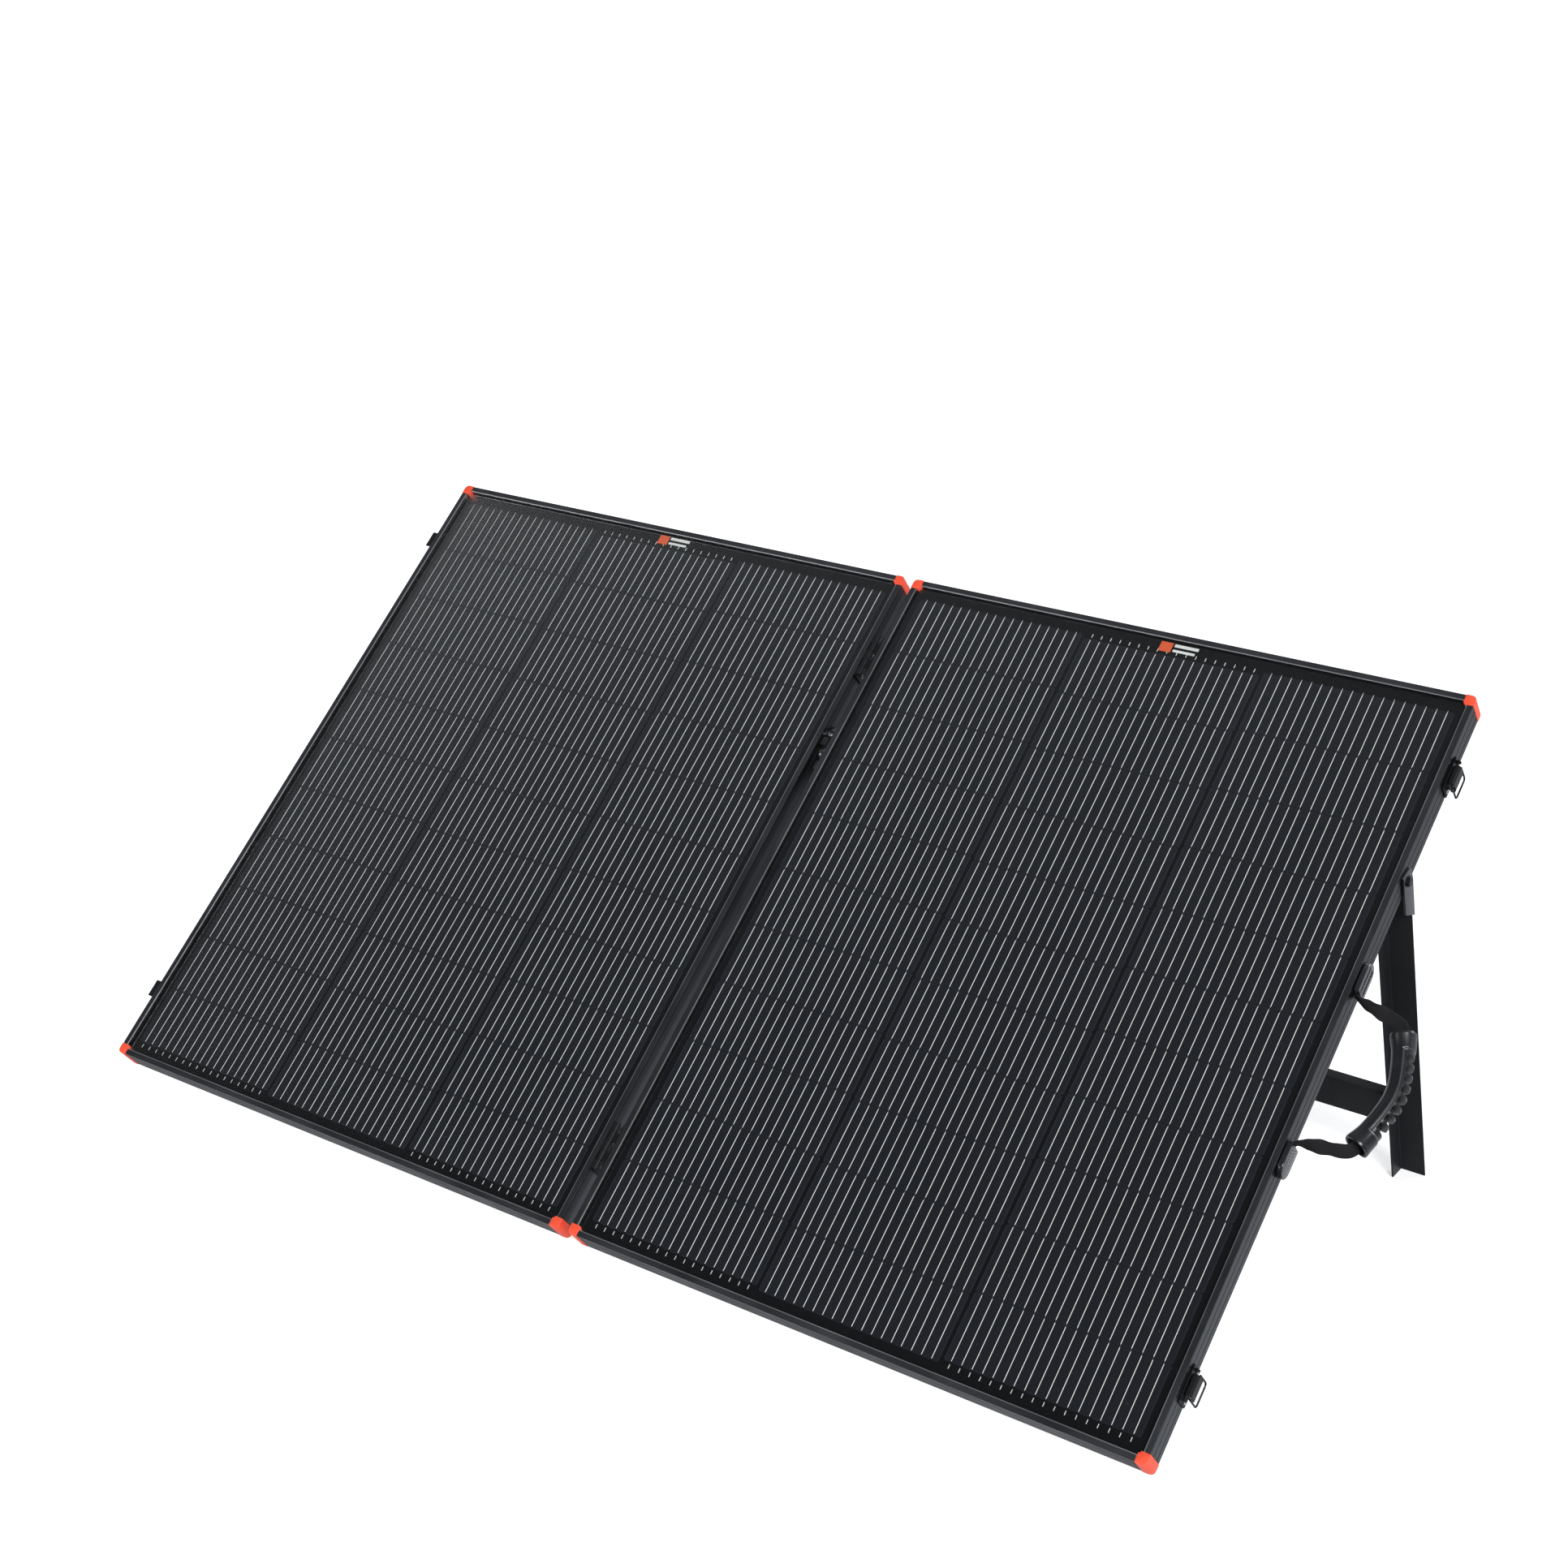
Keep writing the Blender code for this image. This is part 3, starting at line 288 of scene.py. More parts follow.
def rail_lines(finish, axis, middle, edges):
    """Along each rail: a painted highlight, a bright line just outside the lip's inner edge, and painted
    shade, dark lines in the corner under the lip and in the two grooves. The outer faces darken up the slope,
    a painted fading of the reflection they show.

    The highlight line is where the distance from the middle along an axis is one of the given edges.
    """
    moved = {0: finish.place(TILT), 1: PLANE_ORIGIN}
    where = finish.node("ShaderNodeVectorMath", {"operation": "SUBTRACT"}, moved)
    off = abs(finish.along(where, axis) - 0.001 * middle)
    out = finish.along(where, 2)
    # Painted highlight: a bright line just outside the lip's inner edge, standing in for light caught by its
    # rounded edge.
    wear_and_highlight = finish.ramp(abs(off - 0.001 * edges[0]), 0.00030, 0.00055, 1.0, 0.0)
    for edge in edges[1:]:
        wear_and_highlight = wear_and_highlight + finish.ramp(abs(off - 0.001 * edge), 0.00030, 0.00055, 1.0, 0.0)
    wear_and_highlight = wear_and_highlight * (out > -0.0014)
    # Painted shade: dark lines in the two grooves and in the corner under the lip.
    dark = finish.ramp(abs(out + 0.0085), 0.0004, 0.0006, 1.0, 0.0)
    dark = dark + finish.ramp(abs(out + 0.0180), 0.0004, 0.0006, 1.0, 0.0)
    dark = dark + finish.ramp(abs(out + 0.0011), 0.0003, 0.0006, 1.0, 0.0) * (1 - wear_and_highlight)
    # Painted reflection: the outer faces are lighter at the foot and darker up the slope, as the reflection
    # they show fades.
    reflection_fall = finish.ramp(finish.along(where, 1), 0.02, 0.42, 0.0, 0.72)
    reflection_faded = finish.mix(reflection_fall * (out < -0.0012), finish.base, (0.030, 0.031, 0.034))
    shaded = finish.mix(dark * 0.85, reflection_faded, (0.010, 0.011, 0.013))
    finish.set(Base_Color=finish.mix(wear_and_highlight * 0.9, shaded, (0.52, 0.53, 0.55)))
    return finish


def coated_metal(name, colour, roughness, turn, metallic=0.0, pebble=650.0, depth=5.0e-5):
    """Powder coat: small rounded pebbles from noise, slightly rubbed and lighter in slow patches."""
    finish = Finish(name, colour, roughness, metallic, Specular_IOR_Level=0.28)
    pebbles = finish.noise(finish.place(turn), pebble, 2.0)
    wear_and_highlight = finish.noise(finish.place(turn, (1.0, 0.35, 1.0)), 22.0, 5.0)
    light = tuple(1.5 * part + 0.001 for part in colour)
    finish.set(Base_Color=finish.mix(finish.ramp(wear_and_highlight, 0.35, 0.75), colour, light))
    finish.set(Roughness=finish.ramp(wear_and_highlight, 0.3, 0.7, roughness + 0.06, roughness - 0.06))
    return finish.bump(pebbles, depth, 0.35)


level_frame = drawn_metal("anodised_level_rail", (0.125, 0.130, 0.140), 0, TILT)
upright_frame = drawn_metal("anodised_upright_rail", (0.115, 0.121, 0.131), 1, TILT)
rail_lines(level_frame, 1, PANEL_HEIGHT / 2, [PANEL_HEIGHT / 2 - 5.7])
rail_lines(upright_frame, 0, TOTAL_WIDTH / 2, [TOTAL_WIDTH / 2 - 5.7, PANEL_GAP / 2 + 5.7])
leg_coat = coated_metal("powder_coated_leg", (0.0088, 0.0102, 0.0118), 0.44, LEAN)
plate_metal = drawn_metal("brushed_pivot_plate", (0.170, 0.178, 0.195), 1, LEAN, 0.38)
black_steel = coated_metal("blackened_steel", (0.0075, 0.0080, 0.0090), 0.36, TILT, 0.2, 900.0, 2.0e-5)
zinc = drawn_metal("bright_zinc", (0.50, 0.50, 0.52), 0, TILT, 0.20, 1.0e-6)
spring_wire = drawn_metal("spring_wire", (0.045, 0.046, 0.052), 0, TILT, 0.25, 1.0e-6)
print("metals ready")

# %% [markdown]
# ## Plastic, rubber and webbing finishes
# The caps are glossy orange mouldings, the grip and the anchors a satin charcoal, the cable jacket a
# shiny black. Webbing is woven, so its pattern follows the strap's own map and not the room.


# %% Plastics
def moulded(name, colour, roughness, grain=900.0, depth=2.5e-5, coat=0.0):
    """Moulded plastic: a fine spark-eroded grain, and slow flow marks that change the gloss a little."""
    finish = Finish(name, colour, roughness, 0.0)
    finish.feed(finish.shader.inputs["Coat Weight"], coat)
    finish.feed(finish.shader.inputs["Coat Roughness"], 0.12)
    fine = finish.noise(finish.place(TILT), grain, 2.0)
    flow = finish.noise(finish.place(TILT), 45.0, 3.0)
    dark = tuple(0.86 * part for part in colour)
    light = tuple(min(1.0, 1.10 * part + 0.002) for part in colour)
    finish.base = finish.mix(finish.ramp(flow, 0.3, 0.7), dark, light)
    finish.gloss = finish.ramp(flow, 0.3, 0.7, roughness - 0.04, roughness + 0.05)
    finish.set(Base_Color=finish.base, Roughness=finish.gloss)
    return finish.bump(fine, depth, 0.4)


cap_plastic = moulded("orange_cap_plastic", (0.74, 0.072, 0.030), 0.40, 700.0, 1.5e-5)
grip_plastic = moulded("charcoal_grip_plastic", (0.0085, 0.0096, 0.0115), 0.29, 800.0, 1.2e-5)
grip_map = grip_plastic.node("ShaderNodeUVMap", {"uv_map": OWN_MAP})
# Painted shade: the map's first coordinate darkens the plastic to near black deep in the finger slots and in
# the end mouths.
slot_shade = grip_plastic.along(grip_map, 0)
# Painted highlight: the map's second coordinate paints the rims of the slots and of the palm bed pale.
rim_highlight = grip_plastic.mix(grip_plastic.along(grip_map, 1) * 0.8, grip_plastic.base, (0.060, 0.064, 0.072))
grip_plastic.set(Base_Color=grip_plastic.mix(slot_shade * 0.9, rim_highlight, (0.0010, 0.0011, 0.0013)))
grip_plastic.set(Roughness=grip_plastic.gloss + slot_shade * 0.3)
anchor_plastic = moulded("glossy_anchor_plastic", (0.013, 0.0135, 0.016), 0.17, 800.0, 1.0e-5, 1.0)
box_plastic = moulded("black_box_plastic", (0.014, 0.0145, 0.016), 0.46, 500.0, 4.0e-5)
jacket = moulded("glossy_cable_jacket", (0.018, 0.018, 0.020), 0.22, 400.0, 1.0e-5, 0.5)

# %% Webbing
webbing = Finish("black_webbing", (0.010, 0.0105, 0.012), 0.72, 0.0, Specular_IOR_Level=0.2)
thread = webbing.node("ShaderNodeUVMap", {"uv_map": OWN_MAP})
crossing = webbing.node("ShaderNodeTexWave", {"bands_direction": "X"}, {"Vector": thread, "Scale": 420.0})
running = webbing.node("ShaderNodeTexWave", {"bands_direction": "Y"}, {"Vector": thread, "Scale": 300.0})
weave = crossing * 0.55 + running * 0.45
fuzz = webbing.noise(webbing.place(), 900.0, 3.0)
webbing.set(Base_Color=webbing.mix(weave * 0.7 + fuzz * 0.3, (0.0040, 0.0042, 0.0048), (0.016, 0.016, 0.018)))
webbing.set(Roughness=webbing.ramp(fuzz, 0.3, 0.7, 0.66, 0.82))
webbing.bump(weave + fuzz * 0.3, 1.0e-4, 0.55)
print("plastics and webbing ready")

# %% [markdown]
# ## Helpers for surfaces
# Most pieces are a ring of points carried through several places: a rounded outline lifted into a plate,
# a leg's section run down to the ground, a tube along a cable. `skin` joins such rings into a closed
# shell. The outline and the rounding of edges are two small formulas on whole arrays.


# %% Rings, slabs and shells
def rounded(corners, radii, steps=6):
    """Replaces each corner P by the curve (1-t)^2 A + 2t(1-t) P + t^2 B, where A and B lie a radius
    before and after it.
    """
    corners = np.array(corners, float)
    radii = np.broadcast_to(np.asarray(radii, float), len(corners))[:, None]
    before = np.roll(corners, 1, axis=0) - corners
    after = np.roll(corners, -1, axis=0) - corners
    start = corners + radii * before / np.linalg.norm(before, axis=1)[:, None]
    end = corners + radii * after / np.linalg.norm(after, axis=1)[:, None]
    t = np.linspace(0.0, 1.0, steps)[None, :, None]
    curve = (1 - t) ** 2 * start[:, None] + 2 * t * (1 - t) * corners[:, None] + t**2 * end[:, None]
    return curve.reshape(-1, 2)


def inset(ring, amount):
    """Moves each point of a ring inwards along the mean normal of its two edges, by the amount over the
    cosine of half the angle between them.
    """
    ahead = np.roll(ring, -1, axis=0) - ring
    ahead = ahead / np.maximum(np.linalg.norm(ahead, axis=1)[:, None], 1e-9)
    behind = np.roll(ahead, 1, axis=0)
    area = np.sum(ring[:, 0] * np.roll(ring[:, 1], -1) - ring[:, 1] * np.roll(ring[:, 0], -1))
    turn = np.array([[0.0, 1.0], [-1.0, 0.0]]) * np.sign(area)
    first = behind @ turn.T
    second = ahead @ turn.T
    share = 1.0 + np.sum(first * second, axis=1)[:, None]
    return ring - amount * (first + second) / np.maximum(share, 0.4)


def slab(ring, low, high, edge, steps=4):
    """A plate from a ring: heights low to high, with both rims rounded by a quarter circle of radius edge."""
    angle = np.linspace(0.0, np.pi / 2, steps)
    pull = edge * (1 - np.sin(angle))
    rise = edge * (1 - np.cos(angle))
    sign = np.sign(high - low)
    pulls = np.concatenate([pull, pull[::-1]])
    heights = np.concatenate([low + sign * rise, (high - sign * rise)[::-1]])
    layers = [np.column_stack([inset(ring, p), np.full(len(ring), h)]) for p, h in zip(pulls, heights)]
    return np.array(layers)


def grid_faces(rows, columns, wrap=True):
    """The four corner numbers of each quad of a grid, row by row, and the (row, column) of those corners."""
    across = columns if wrap else columns - 1
    i, j = np.meshgrid(np.arange(rows - 1), np.arange(across), indexing="ij")
    row = np.stack([i, i, i + 1, i + 1], axis=-1).reshape(-1, 4)
    column = np.stack([j, j + 1, j + 1, j], axis=-1).reshape(-1, 4)
    return row * columns + column % columns, row, column


def end_faces(rows, columns):
    """The two faces that close a grid of rings: all the corners of its first ring and of its last."""
    first = np.arange(columns)
    return [first.tolist(), ((rows - 1) * columns + first).tolist()]


def finished(name, points, faces, finish, body, slot, replaces=(), uv=None, angle=38.0):
    """Puts points and faces into a mesh, turns its faces outwards, smooths its quads up to an angle, and
    lets it ride on its body.
    """
    mesh = bpy.data.meshes.new(name)
    mesh.from_pydata(np.asarray(points).reshape(-1, 3).tolist(), [], [list(face) for face in faces])
    if uv is not None:
        layer = mesh.uv_layers.new(name=OWN_MAP)
        layer.data.foreach_set("uv", np.asarray(uv, float).ravel())
    shell = bmesh.new()
    shell.from_mesh(mesh)
    bmesh.ops.recalc_face_normals(shell, faces=shell.faces)
    shell.to_mesh(mesh)
    shell.free()
    mesh.materials.append(finish.material)
    corners = np.zeros(len(mesh.polygons), dtype=np.int32)
    mesh.polygons.foreach_get("loop_total", corners)
    mesh.polygons.foreach_set("use_smooth", corners <= 4)
    mesh.set_sharp_from_angle(angle=np.radians(angle))
    piece = bpy.data.objects.new(name, mesh)
    bpy.context.scene.collection.objects.link(piece)
    if body:
        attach(piece, body)
    if replaces:
        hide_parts(*replaces)
    return piece


def skin(name, rings, finish, body, slot, replaces=(), angle=38.0):
    """Joins rings of points into a closed shell, with a flat face over the first and the last ring."""
    rows, columns, _ = rings.shape
    faces = grid_faces(rows, columns)[0].tolist() + end_faces(rows, columns)
    return finished(name, rings, faces, finish, body, slot, replaces, None, angle)


def many(shape, faces, places):
    """The same shape set down at several places: points (k, n, 3) and the faces renumbered for each copy."""
    points = places[:, None, :] + shape[None, :, :]
    shifts = np.arange(len(places)) * shape.shape[0]
    return points, [[corner + shift for corner in face] for shift in shifts for face in faces]


def keep(finish, *names, weld=True, edge=0.0):
    """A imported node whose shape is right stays, with a finish and, where asked, softly rounded edges."""
    for name in names:
        node = nodes[name]
        node.data.materials.clear()
        node.data.materials.append(finish.material)
        if weld:
            join = node.modifiers.new("join", "WELD")
            join.merge_threshold = 1e-6
        if edge:
            soft = node.modifiers.new("soft_edge", "BEVEL")
            soft.width = edge
            soft.segments = 2
            soft.limit_method = "ANGLE"
            soft.angle_limit = np.radians(40.0)
            soft.harden_normals = True


print("helpers ready")

# %% [markdown]
# ## The floor
# A pale floor that reaches past the view on every side. It glows a little, as white paper under strong
# light seems to, which also lightens the shadows. It is kept out of reflections, as a studio does
# with black boards, so that the dark metal stays dark.

# %% Floor
floor_mesh = bpy.data.meshes.new("studio_floor")
half_floor = 60.0
floor_points = [(-half_floor, -half_floor, -5e-4), (half_floor, -half_floor, -5e-4)]
floor_points += [(half_floor, half_floor, -5e-4), (-half_floor, half_floor, -5e-4)]
floor_mesh.from_pydata(floor_points, [], [(0, 1, 2, 3)])
floor = bpy.data.objects.new("studio_floor", floor_mesh)
bpy.context.scene.collection.objects.link(floor)
pale = Finish("pale_floor", (0.86, 0.86, 0.86), 0.9, 0.0, Specular_IOR_Level=0.0)
paper = pale.noise(pale.place(), 3.0, 2.0)
pale.set(Base_Color=pale.mix(paper, (0.85, 0.85, 0.85), (0.87, 0.87, 0.87)))
pale.set(Emission_Color=(1.0, 1.0, 1.0, 1.0), Emission_Strength=0.42)
floor_mesh.materials.append(pale.material)
floor.visible_glossy = False
print("floor ready")

# %% [markdown]
# ## Solar cells
# Each panel holds three columns of eleven long cells, wafers cut in thirds. A cell is a very thin plate
# with clipped corners on a black backing. All of one panel's cells are one mesh: one outline, set down
# thirty-three times. A finish with fine silver lines across, a bluish edge and a slight grain does the rest.

# %% Cell layout
CELL_WIDTH = 182.0
CELL_HEIGHT = 62.5
COLUMN_PITCH = 185.0
ROW_PITCH = 62.95
FIRST_COLUMN = 14.0
COLUMN_TOPS = {"left": (710.8, 707.3, 710.2), "right": (711.3, 707.9, 711.7)}
ROWS = 11
RIBBONS = 18
RIBBON_PITCH = 9.87
CELL_CLIP = 1.6
LAMINATE_TOP = -4.6


def cell_centres(panel):
    """Centres of a panel's cells: (column, row, u and v), counted from the left and from the top."""
    column = START[panel] + FIRST_COLUMN + CELL_WIDTH / 2 + COLUMN_PITCH * np.arange(3)
    top = np.array(COLUMN_TOPS[panel])[:, None] - CELL_HEIGHT / 2 - ROW_PITCH * np.arange(ROWS)[None, :]
    return np.stack([np.broadcast_to(column[:, None], top.shape), top], axis=-1)


backing = Finish("black_backing", (0.0030, 0.0032, 0.004), 0.7, 0.0, Specular_IOR_Level=0.08)
backing_grain = backing.noise(backing.place(TILT), 260.0, 3.0)
backing.set(Base_Color=backing.mix(backing_grain, (0.0030, 0.0033, 0.0042), (0.0046, 0.0050, 0.0062)))
backing.bump(backing_grain, 6.0e-6, 0.06)

silicon = Finish("charcoal_cell", (0.007, 0.0075, 0.010), 0.45, 0.0, Specular_IOR_Level=0.10)
cell_map = silicon.node("ShaderNodeUVMap", {"uv_map": OWN_MAP})
off_side = CELL_WIDTH / 2 - abs(silicon.along(cell_map, 0))
off_end = CELL_HEIGHT / 2 - abs(silicon.along(cell_map, 1))
rim = silicon.ramp(abs(off_side - 1.1), 0.10, 0.30, 1.0, 0.0)
rim = rim + silicon.ramp(abs(off_end - 0.6), 0.10, 0.30, 0.30, 0.0)
fingers = silicon.node("ShaderNodeMath", {"operation": "PINGPONG"}, {0: silicon.along(cell_map, 1), 1: 0.65})
finger = silicon.ramp(fingers, 0.02, 0.10, 1.0, 0.0)
crystal = silicon.noise(silicon.place(TILT), 1100.0, 2.0)
patch = silicon.noise(silicon.place(TILT), 9.0, 2.0)
base = silicon.mix(crystal * 0.6 + patch * 0.4, (0.0084, 0.0092, 0.0132), (0.0145, 0.0158, 0.0215))
base = silicon.mix(finger * 0.05, base, (0.16, 0.17, 0.19))
silicon.set(Base_Color=silicon.mix(rim * 0.30, base, (0.060, 0.070, 0.095)))
silicon.set(Roughness=silicon.ramp(crystal, 0.3, 0.7, 0.40, 0.55))
silicon.bump(crystal, 6.0e-6, 0.2)

# %% Cells
cell_corners = np.array([(-1, -1), (1, -1), (1, 1), (-1, 1)]) * [CELL_WIDTH / 2, CELL_HEIGHT / 2]
cell_ring = rounded(cell_corners, CELL_CLIP, 2)
cell_shape = np.vstack([np.column_stack([cell_ring, np.full(8, h)]) for h in (-0.02, 0.10)])
cell_faces = grid_faces(2, 8)[0].tolist() + [list(range(8)), list(range(8, 16))]
for panel in SIDES:
    centres = cell_centres(panel).reshape(-1, 2)
    spots = np.column_stack([centres, np.full(len(centres), LAMINATE_TOP)])
    flat, faces = many(cell_shape, cell_faces, spots)
    corner_of = np.concatenate([np.array(face) for face in faces])
    local = np.tile(cell_shape[:, :2], (len(spots), 1))[corner_of]
    flat = flat.reshape(-1, 3)
    world_points = on_panel(flat[:, 0], flat[:, 1], flat[:, 2])
    finished(f"{panel}_cells", world_points, faces, silicon, f"{panel}_panel", "cells", uv=local)
    keep(backing, f"{panel}_cell_laminate")
print("cells", ROWS * 3 * 2)

# %% [markdown]
# ## Ribbons
# Eighteen bright tinned ribbons cross every cell. They are flat copper wires, broken where one cell hands
# over to the next, with a short tail below the last cell. Every ribbon is the same little box with
# its own length, so all of them are worked out at once as arrays.

# %% Ribbons, links and solder dots
RIBBON_WIDTH = 0.60
BREAK = 2.7
TIP_LENGTH = 4.2
TAIL_LENGTH = 3.8
LINK_WIDTH = 0.42
DOT_HALF = 0.24
DOT_PLACE = (69.5, 9.5)
tin = Finish("tinned_ribbon", (0.90, 0.91, 0.92), 0.40, 0.0)
solder_grain = tin.noise(tin.place(TILT, (900.0, 60.0, 900.0)), 1.0, 2.0)
tin.set(Base_Color=tin.mix(solder_grain, (0.80, 0.80, 0.78), (0.94, 0.94, 0.91)))
tin.set(Roughness=tin.ramp(solder_grain, 0.3, 0.7, 0.28, 0.44))
dull_tin = Finish("dull_link", (0.055, 0.058, 0.065), 0.5, 0.0)
dull_grain = dull_tin.noise(dull_tin.place(TILT), 900.0, 2.0)
dull_tin.set(Base_Color=dull_tin.mix(dull_grain, (0.060, 0.063, 0.070), (0.14, 0.145, 0.155)))
BOX_FACES = [(0, 1, 2, 3), (4, 5, 6, 7), (0, 1, 5, 4), (1, 2, 6, 5), (2, 3, 7, 6), (3, 0, 4, 7)]


def strips(u, low, high, wide_low, wide_high, base, top):
    """One thin box per strip, from v = low to high, whose width may taper; arrays of any equal length."""
    given = map(np.asarray, (u, low, high, wide_low, wide_high))
    u, low, high, wide_low, wide_high = np.broadcast_arrays(*given)
    side_u = np.stack([u - wide_low / 2, u + wide_low / 2, u + wide_high / 2, u - wide_high / 2], axis=-1)
    side_v = np.stack([low, low, high, high], axis=-1)
    count = len(u)
    flat_u = np.concatenate([side_u, side_u], axis=1)
    flat_v = np.concatenate([side_v, side_v], axis=1)
    flat_w = np.tile([base] * 4 + [top] * 4, (count, 1))
    faces = (np.array(BOX_FACES)[None] + 8 * np.arange(count)[:, None, None]).reshape(-1, 4)
    return on_panel(flat_u, flat_v, flat_w).reshape(-1, 3), faces.tolist()


for panel in SIDES:
    centres = cell_centres(panel)
    lanes = RIBBON_PITCH * (np.arange(RIBBONS) - (RIBBONS - 1) / 2)
    lane_u = (centres[:, :, 0, None] + lanes + 0.22 * (-1.0) ** np.arange(ROWS)[None, :, None]).ravel()
    half_run = (ROW_PITCH - BREAK) / 2
    all_lanes = np.zeros((3, ROWS, RIBBONS))
    top = centres[:, :, 1, None] + half_run + all_lanes
    low = centres[:, :, 1, None] - half_run + all_lanes
    top[[0, 2], 0, :] -= 2.0
    main = strips(lane_u, low.ravel(), top.ravel(), RIBBON_WIDTH, RIBBON_WIDTH, -4.5, -4.40)
    tip_u = lane_u.reshape(3, ROWS, RIBBONS)[[0, 2], 0, :].ravel()
    tip_low = top[[0, 2], 0, :].ravel()
    tips = strips(tip_u, tip_low, tip_low + TIP_LENGTH, RIBBON_WIDTH, 0.15, -4.5, -4.40)
    tail_u = lane_u.reshape(3, ROWS, RIBBONS)[[0, 2], -1, :].ravel()
    tail_top = low[[0, 2], -1, :].ravel() - 2.9
    tail_u = np.concatenate([tail_u, lane_u.reshape(3, ROWS, RIBBONS)[1, 0, :]])
    tail_top = np.concatenate([tail_top, top[1, 0, :] + 6.9])
    tails = strips(tail_u, tail_top - TAIL_LENGTH, tail_top, RIBBON_WIDTH, RIBBON_WIDTH, -4.6, -4.46)
    points = np.vstack([main[0], tips[0], tails[0]])
    faces = main[1]
    for points_before, group in ((len(main[0]), tips[1]), (len(main[0]) + len(tips[0]), tails[1])):
        faces = faces + (np.array(group) + points_before).tolist()
    finished(f"{panel}_ribbons", points, faces, tin, f"{panel}_panel", "cells")
    link_u = (centres[:, :-1, 0, None] + lanes).ravel()
    link_top = (centres[:, 1:, 1, None] + ROW_PITCH / 2 + all_lanes[:, 1:]).ravel()
    links = strips(link_u, link_top - BREAK / 2, link_top + BREAK / 2, LINK_WIDTH, LINK_WIDTH, -4.6, -4.47)
    finished(f"{panel}_ribbon_links", *links, dull_tin, f"{panel}_panel", "cells")
    way = np.array([-1.0, 1.0, -1.0])[:, None, None]
    spot_u = (centres[:, :, 0, None] + np.array([-DOT_PLACE[0], DOT_PLACE[0]])).ravel()
    spot_v = (centres[:, :, 1, None] + DOT_PLACE[1] * way + np.zeros(2)).ravel()
    dots = strips(spot_u, spot_v - DOT_HALF, spot_v + DOT_HALF, 2 * DOT_HALF, 2 * DOT_HALF, -4.51, -4.44)
    finished(f"{panel}_solder_dots", *dots, dull_tin, f"{panel}_panel", "cells")
print("ribbons", 2 * 3 * ROWS * RIBBONS)

# %% [markdown]
# A small plain plate is printed on the backing at the top of each panel: an orange square and two blank
# pale bars. It carries no words.

# %% Printed plate
orange_ink = Finish("orange_ink", (0.72, 0.10, 0.03), 0.5)
ink_grain = orange_ink.noise(orange_ink.place(TILT), 1500.0, 2.0)
orange_ink.set(Base_Color=orange_ink.mix(ink_grain, (0.62, 0.055, 0.020), (0.80, 0.17, 0.05)))
pale_ink = Finish("pale_ink", (0.80, 0.80, 0.80), 0.5)
pale_grain = pale_ink.noise(pale_ink.place(TILT), 1500.0)
pale_ink.set(Base_Color=pale_ink.mix(pale_grain, (0.72, 0.72, 0.72), (0.86, 0.86, 0.86)))
PLATE_LEFT = {"left": 276.0, "right": 867.5}
for panel in SIDES:
    left = PLATE_LEFT[panel]
    square = strips([left + 6.2], [711.6], [722.2], 12.4, 12.4, -4.6, -4.44)
    finished(f"{panel}_printed_square", *square, orange_ink, f"{panel}_panel", "cells")
    lengths = [24.5, 22.5]
    bars = strips([left + 26.6, left + 25.6], [718.4, 713.0], [721.6, 715.6], lengths, lengths, -4.6, -4.44)
    finished(f"{panel}_printed_bars", *bars, pale_ink, f"{panel}_panel", "cells")
print("printed plates", len(PLATE_LEFT))

# %% [markdown]
# ## Glass
# A low-iron pane lies over the cells. What is seen of it is what it mirrors, so its finish is clear with
# a mirror laid over it by Fresnel's law: weak when looked at squarely, strong at a glancing angle. Light
# passes straight through, which lets the lamps reach the cells. Panel glass is lightly etched.

# %% Glass
clear = Finish("etched_glass", (0.9, 0.95, 0.93), 0.1)
etching = clear.noise(clear.place(TILT), 420.0, 2.0)
etched = clear.node("ShaderNodeBump", {}, {"Height": etching, "Distance": 2.0e-5, "Strength": 0.12})
see_through = clear.node("ShaderNodeBsdfTransparent", {}, {"Color": (0.975, 0.985, 0.98, 1.0)})
smear = clear.ramp(clear.noise(clear.place(TILT), 6.0, 4.0), 0.3, 0.7, 0.10, 0.17)
gloss = {"Color": (1.0, 1.0, 1.0, 1.0), "Roughness": smear, "Normal": etched}
mirror = clear.node("ShaderNodeBsdfGlossy", {}, gloss)
strength = clear.node("ShaderNodeFresnel", {}, {"IOR": 1.33})
pane = clear.node("ShaderNodeMixShader", {}, {0: strength, 1: see_through, 2: mirror})
clear.tree.links.new(pane.socket, clear.tree.nodes["Material Output"].inputs["Surface"])
clear.tree.nodes.remove(clear.shader)
keep(clear, "left_front_glass", "right_front_glass")
print("glass ready")

# %% [markdown]
# ## Frame rails
# The rails are one extruded section cut to length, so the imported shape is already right: a lip over the
# glass, a wall with two grooves, and a flange behind. They only need their edges softened, because a
# broken edge is what catches a line of light, and the drawn finish that follows their length.

# %% Rails
for panel in SIDES:
    keep(level_frame, f"{panel}_frame_bottom_rail", f"{panel}_frame_top_rail", edge=0.00028)
    keep(upright_frame, f"{panel}_frame_outer_rail", f"{panel}_frame_inner_rail", edge=0.00028)
print("rails kept")

# %% [markdown]
# ## Corner caps
# Orange caps close the rails' cut ends. Seen from the front a cap is an L that follows both lips, with its
# outer corner well rounded. Its outline is lifted into a slab with rounded rims, which a modeller would
# do with an extrusion and a bevel; as rings it is one line for all eight.

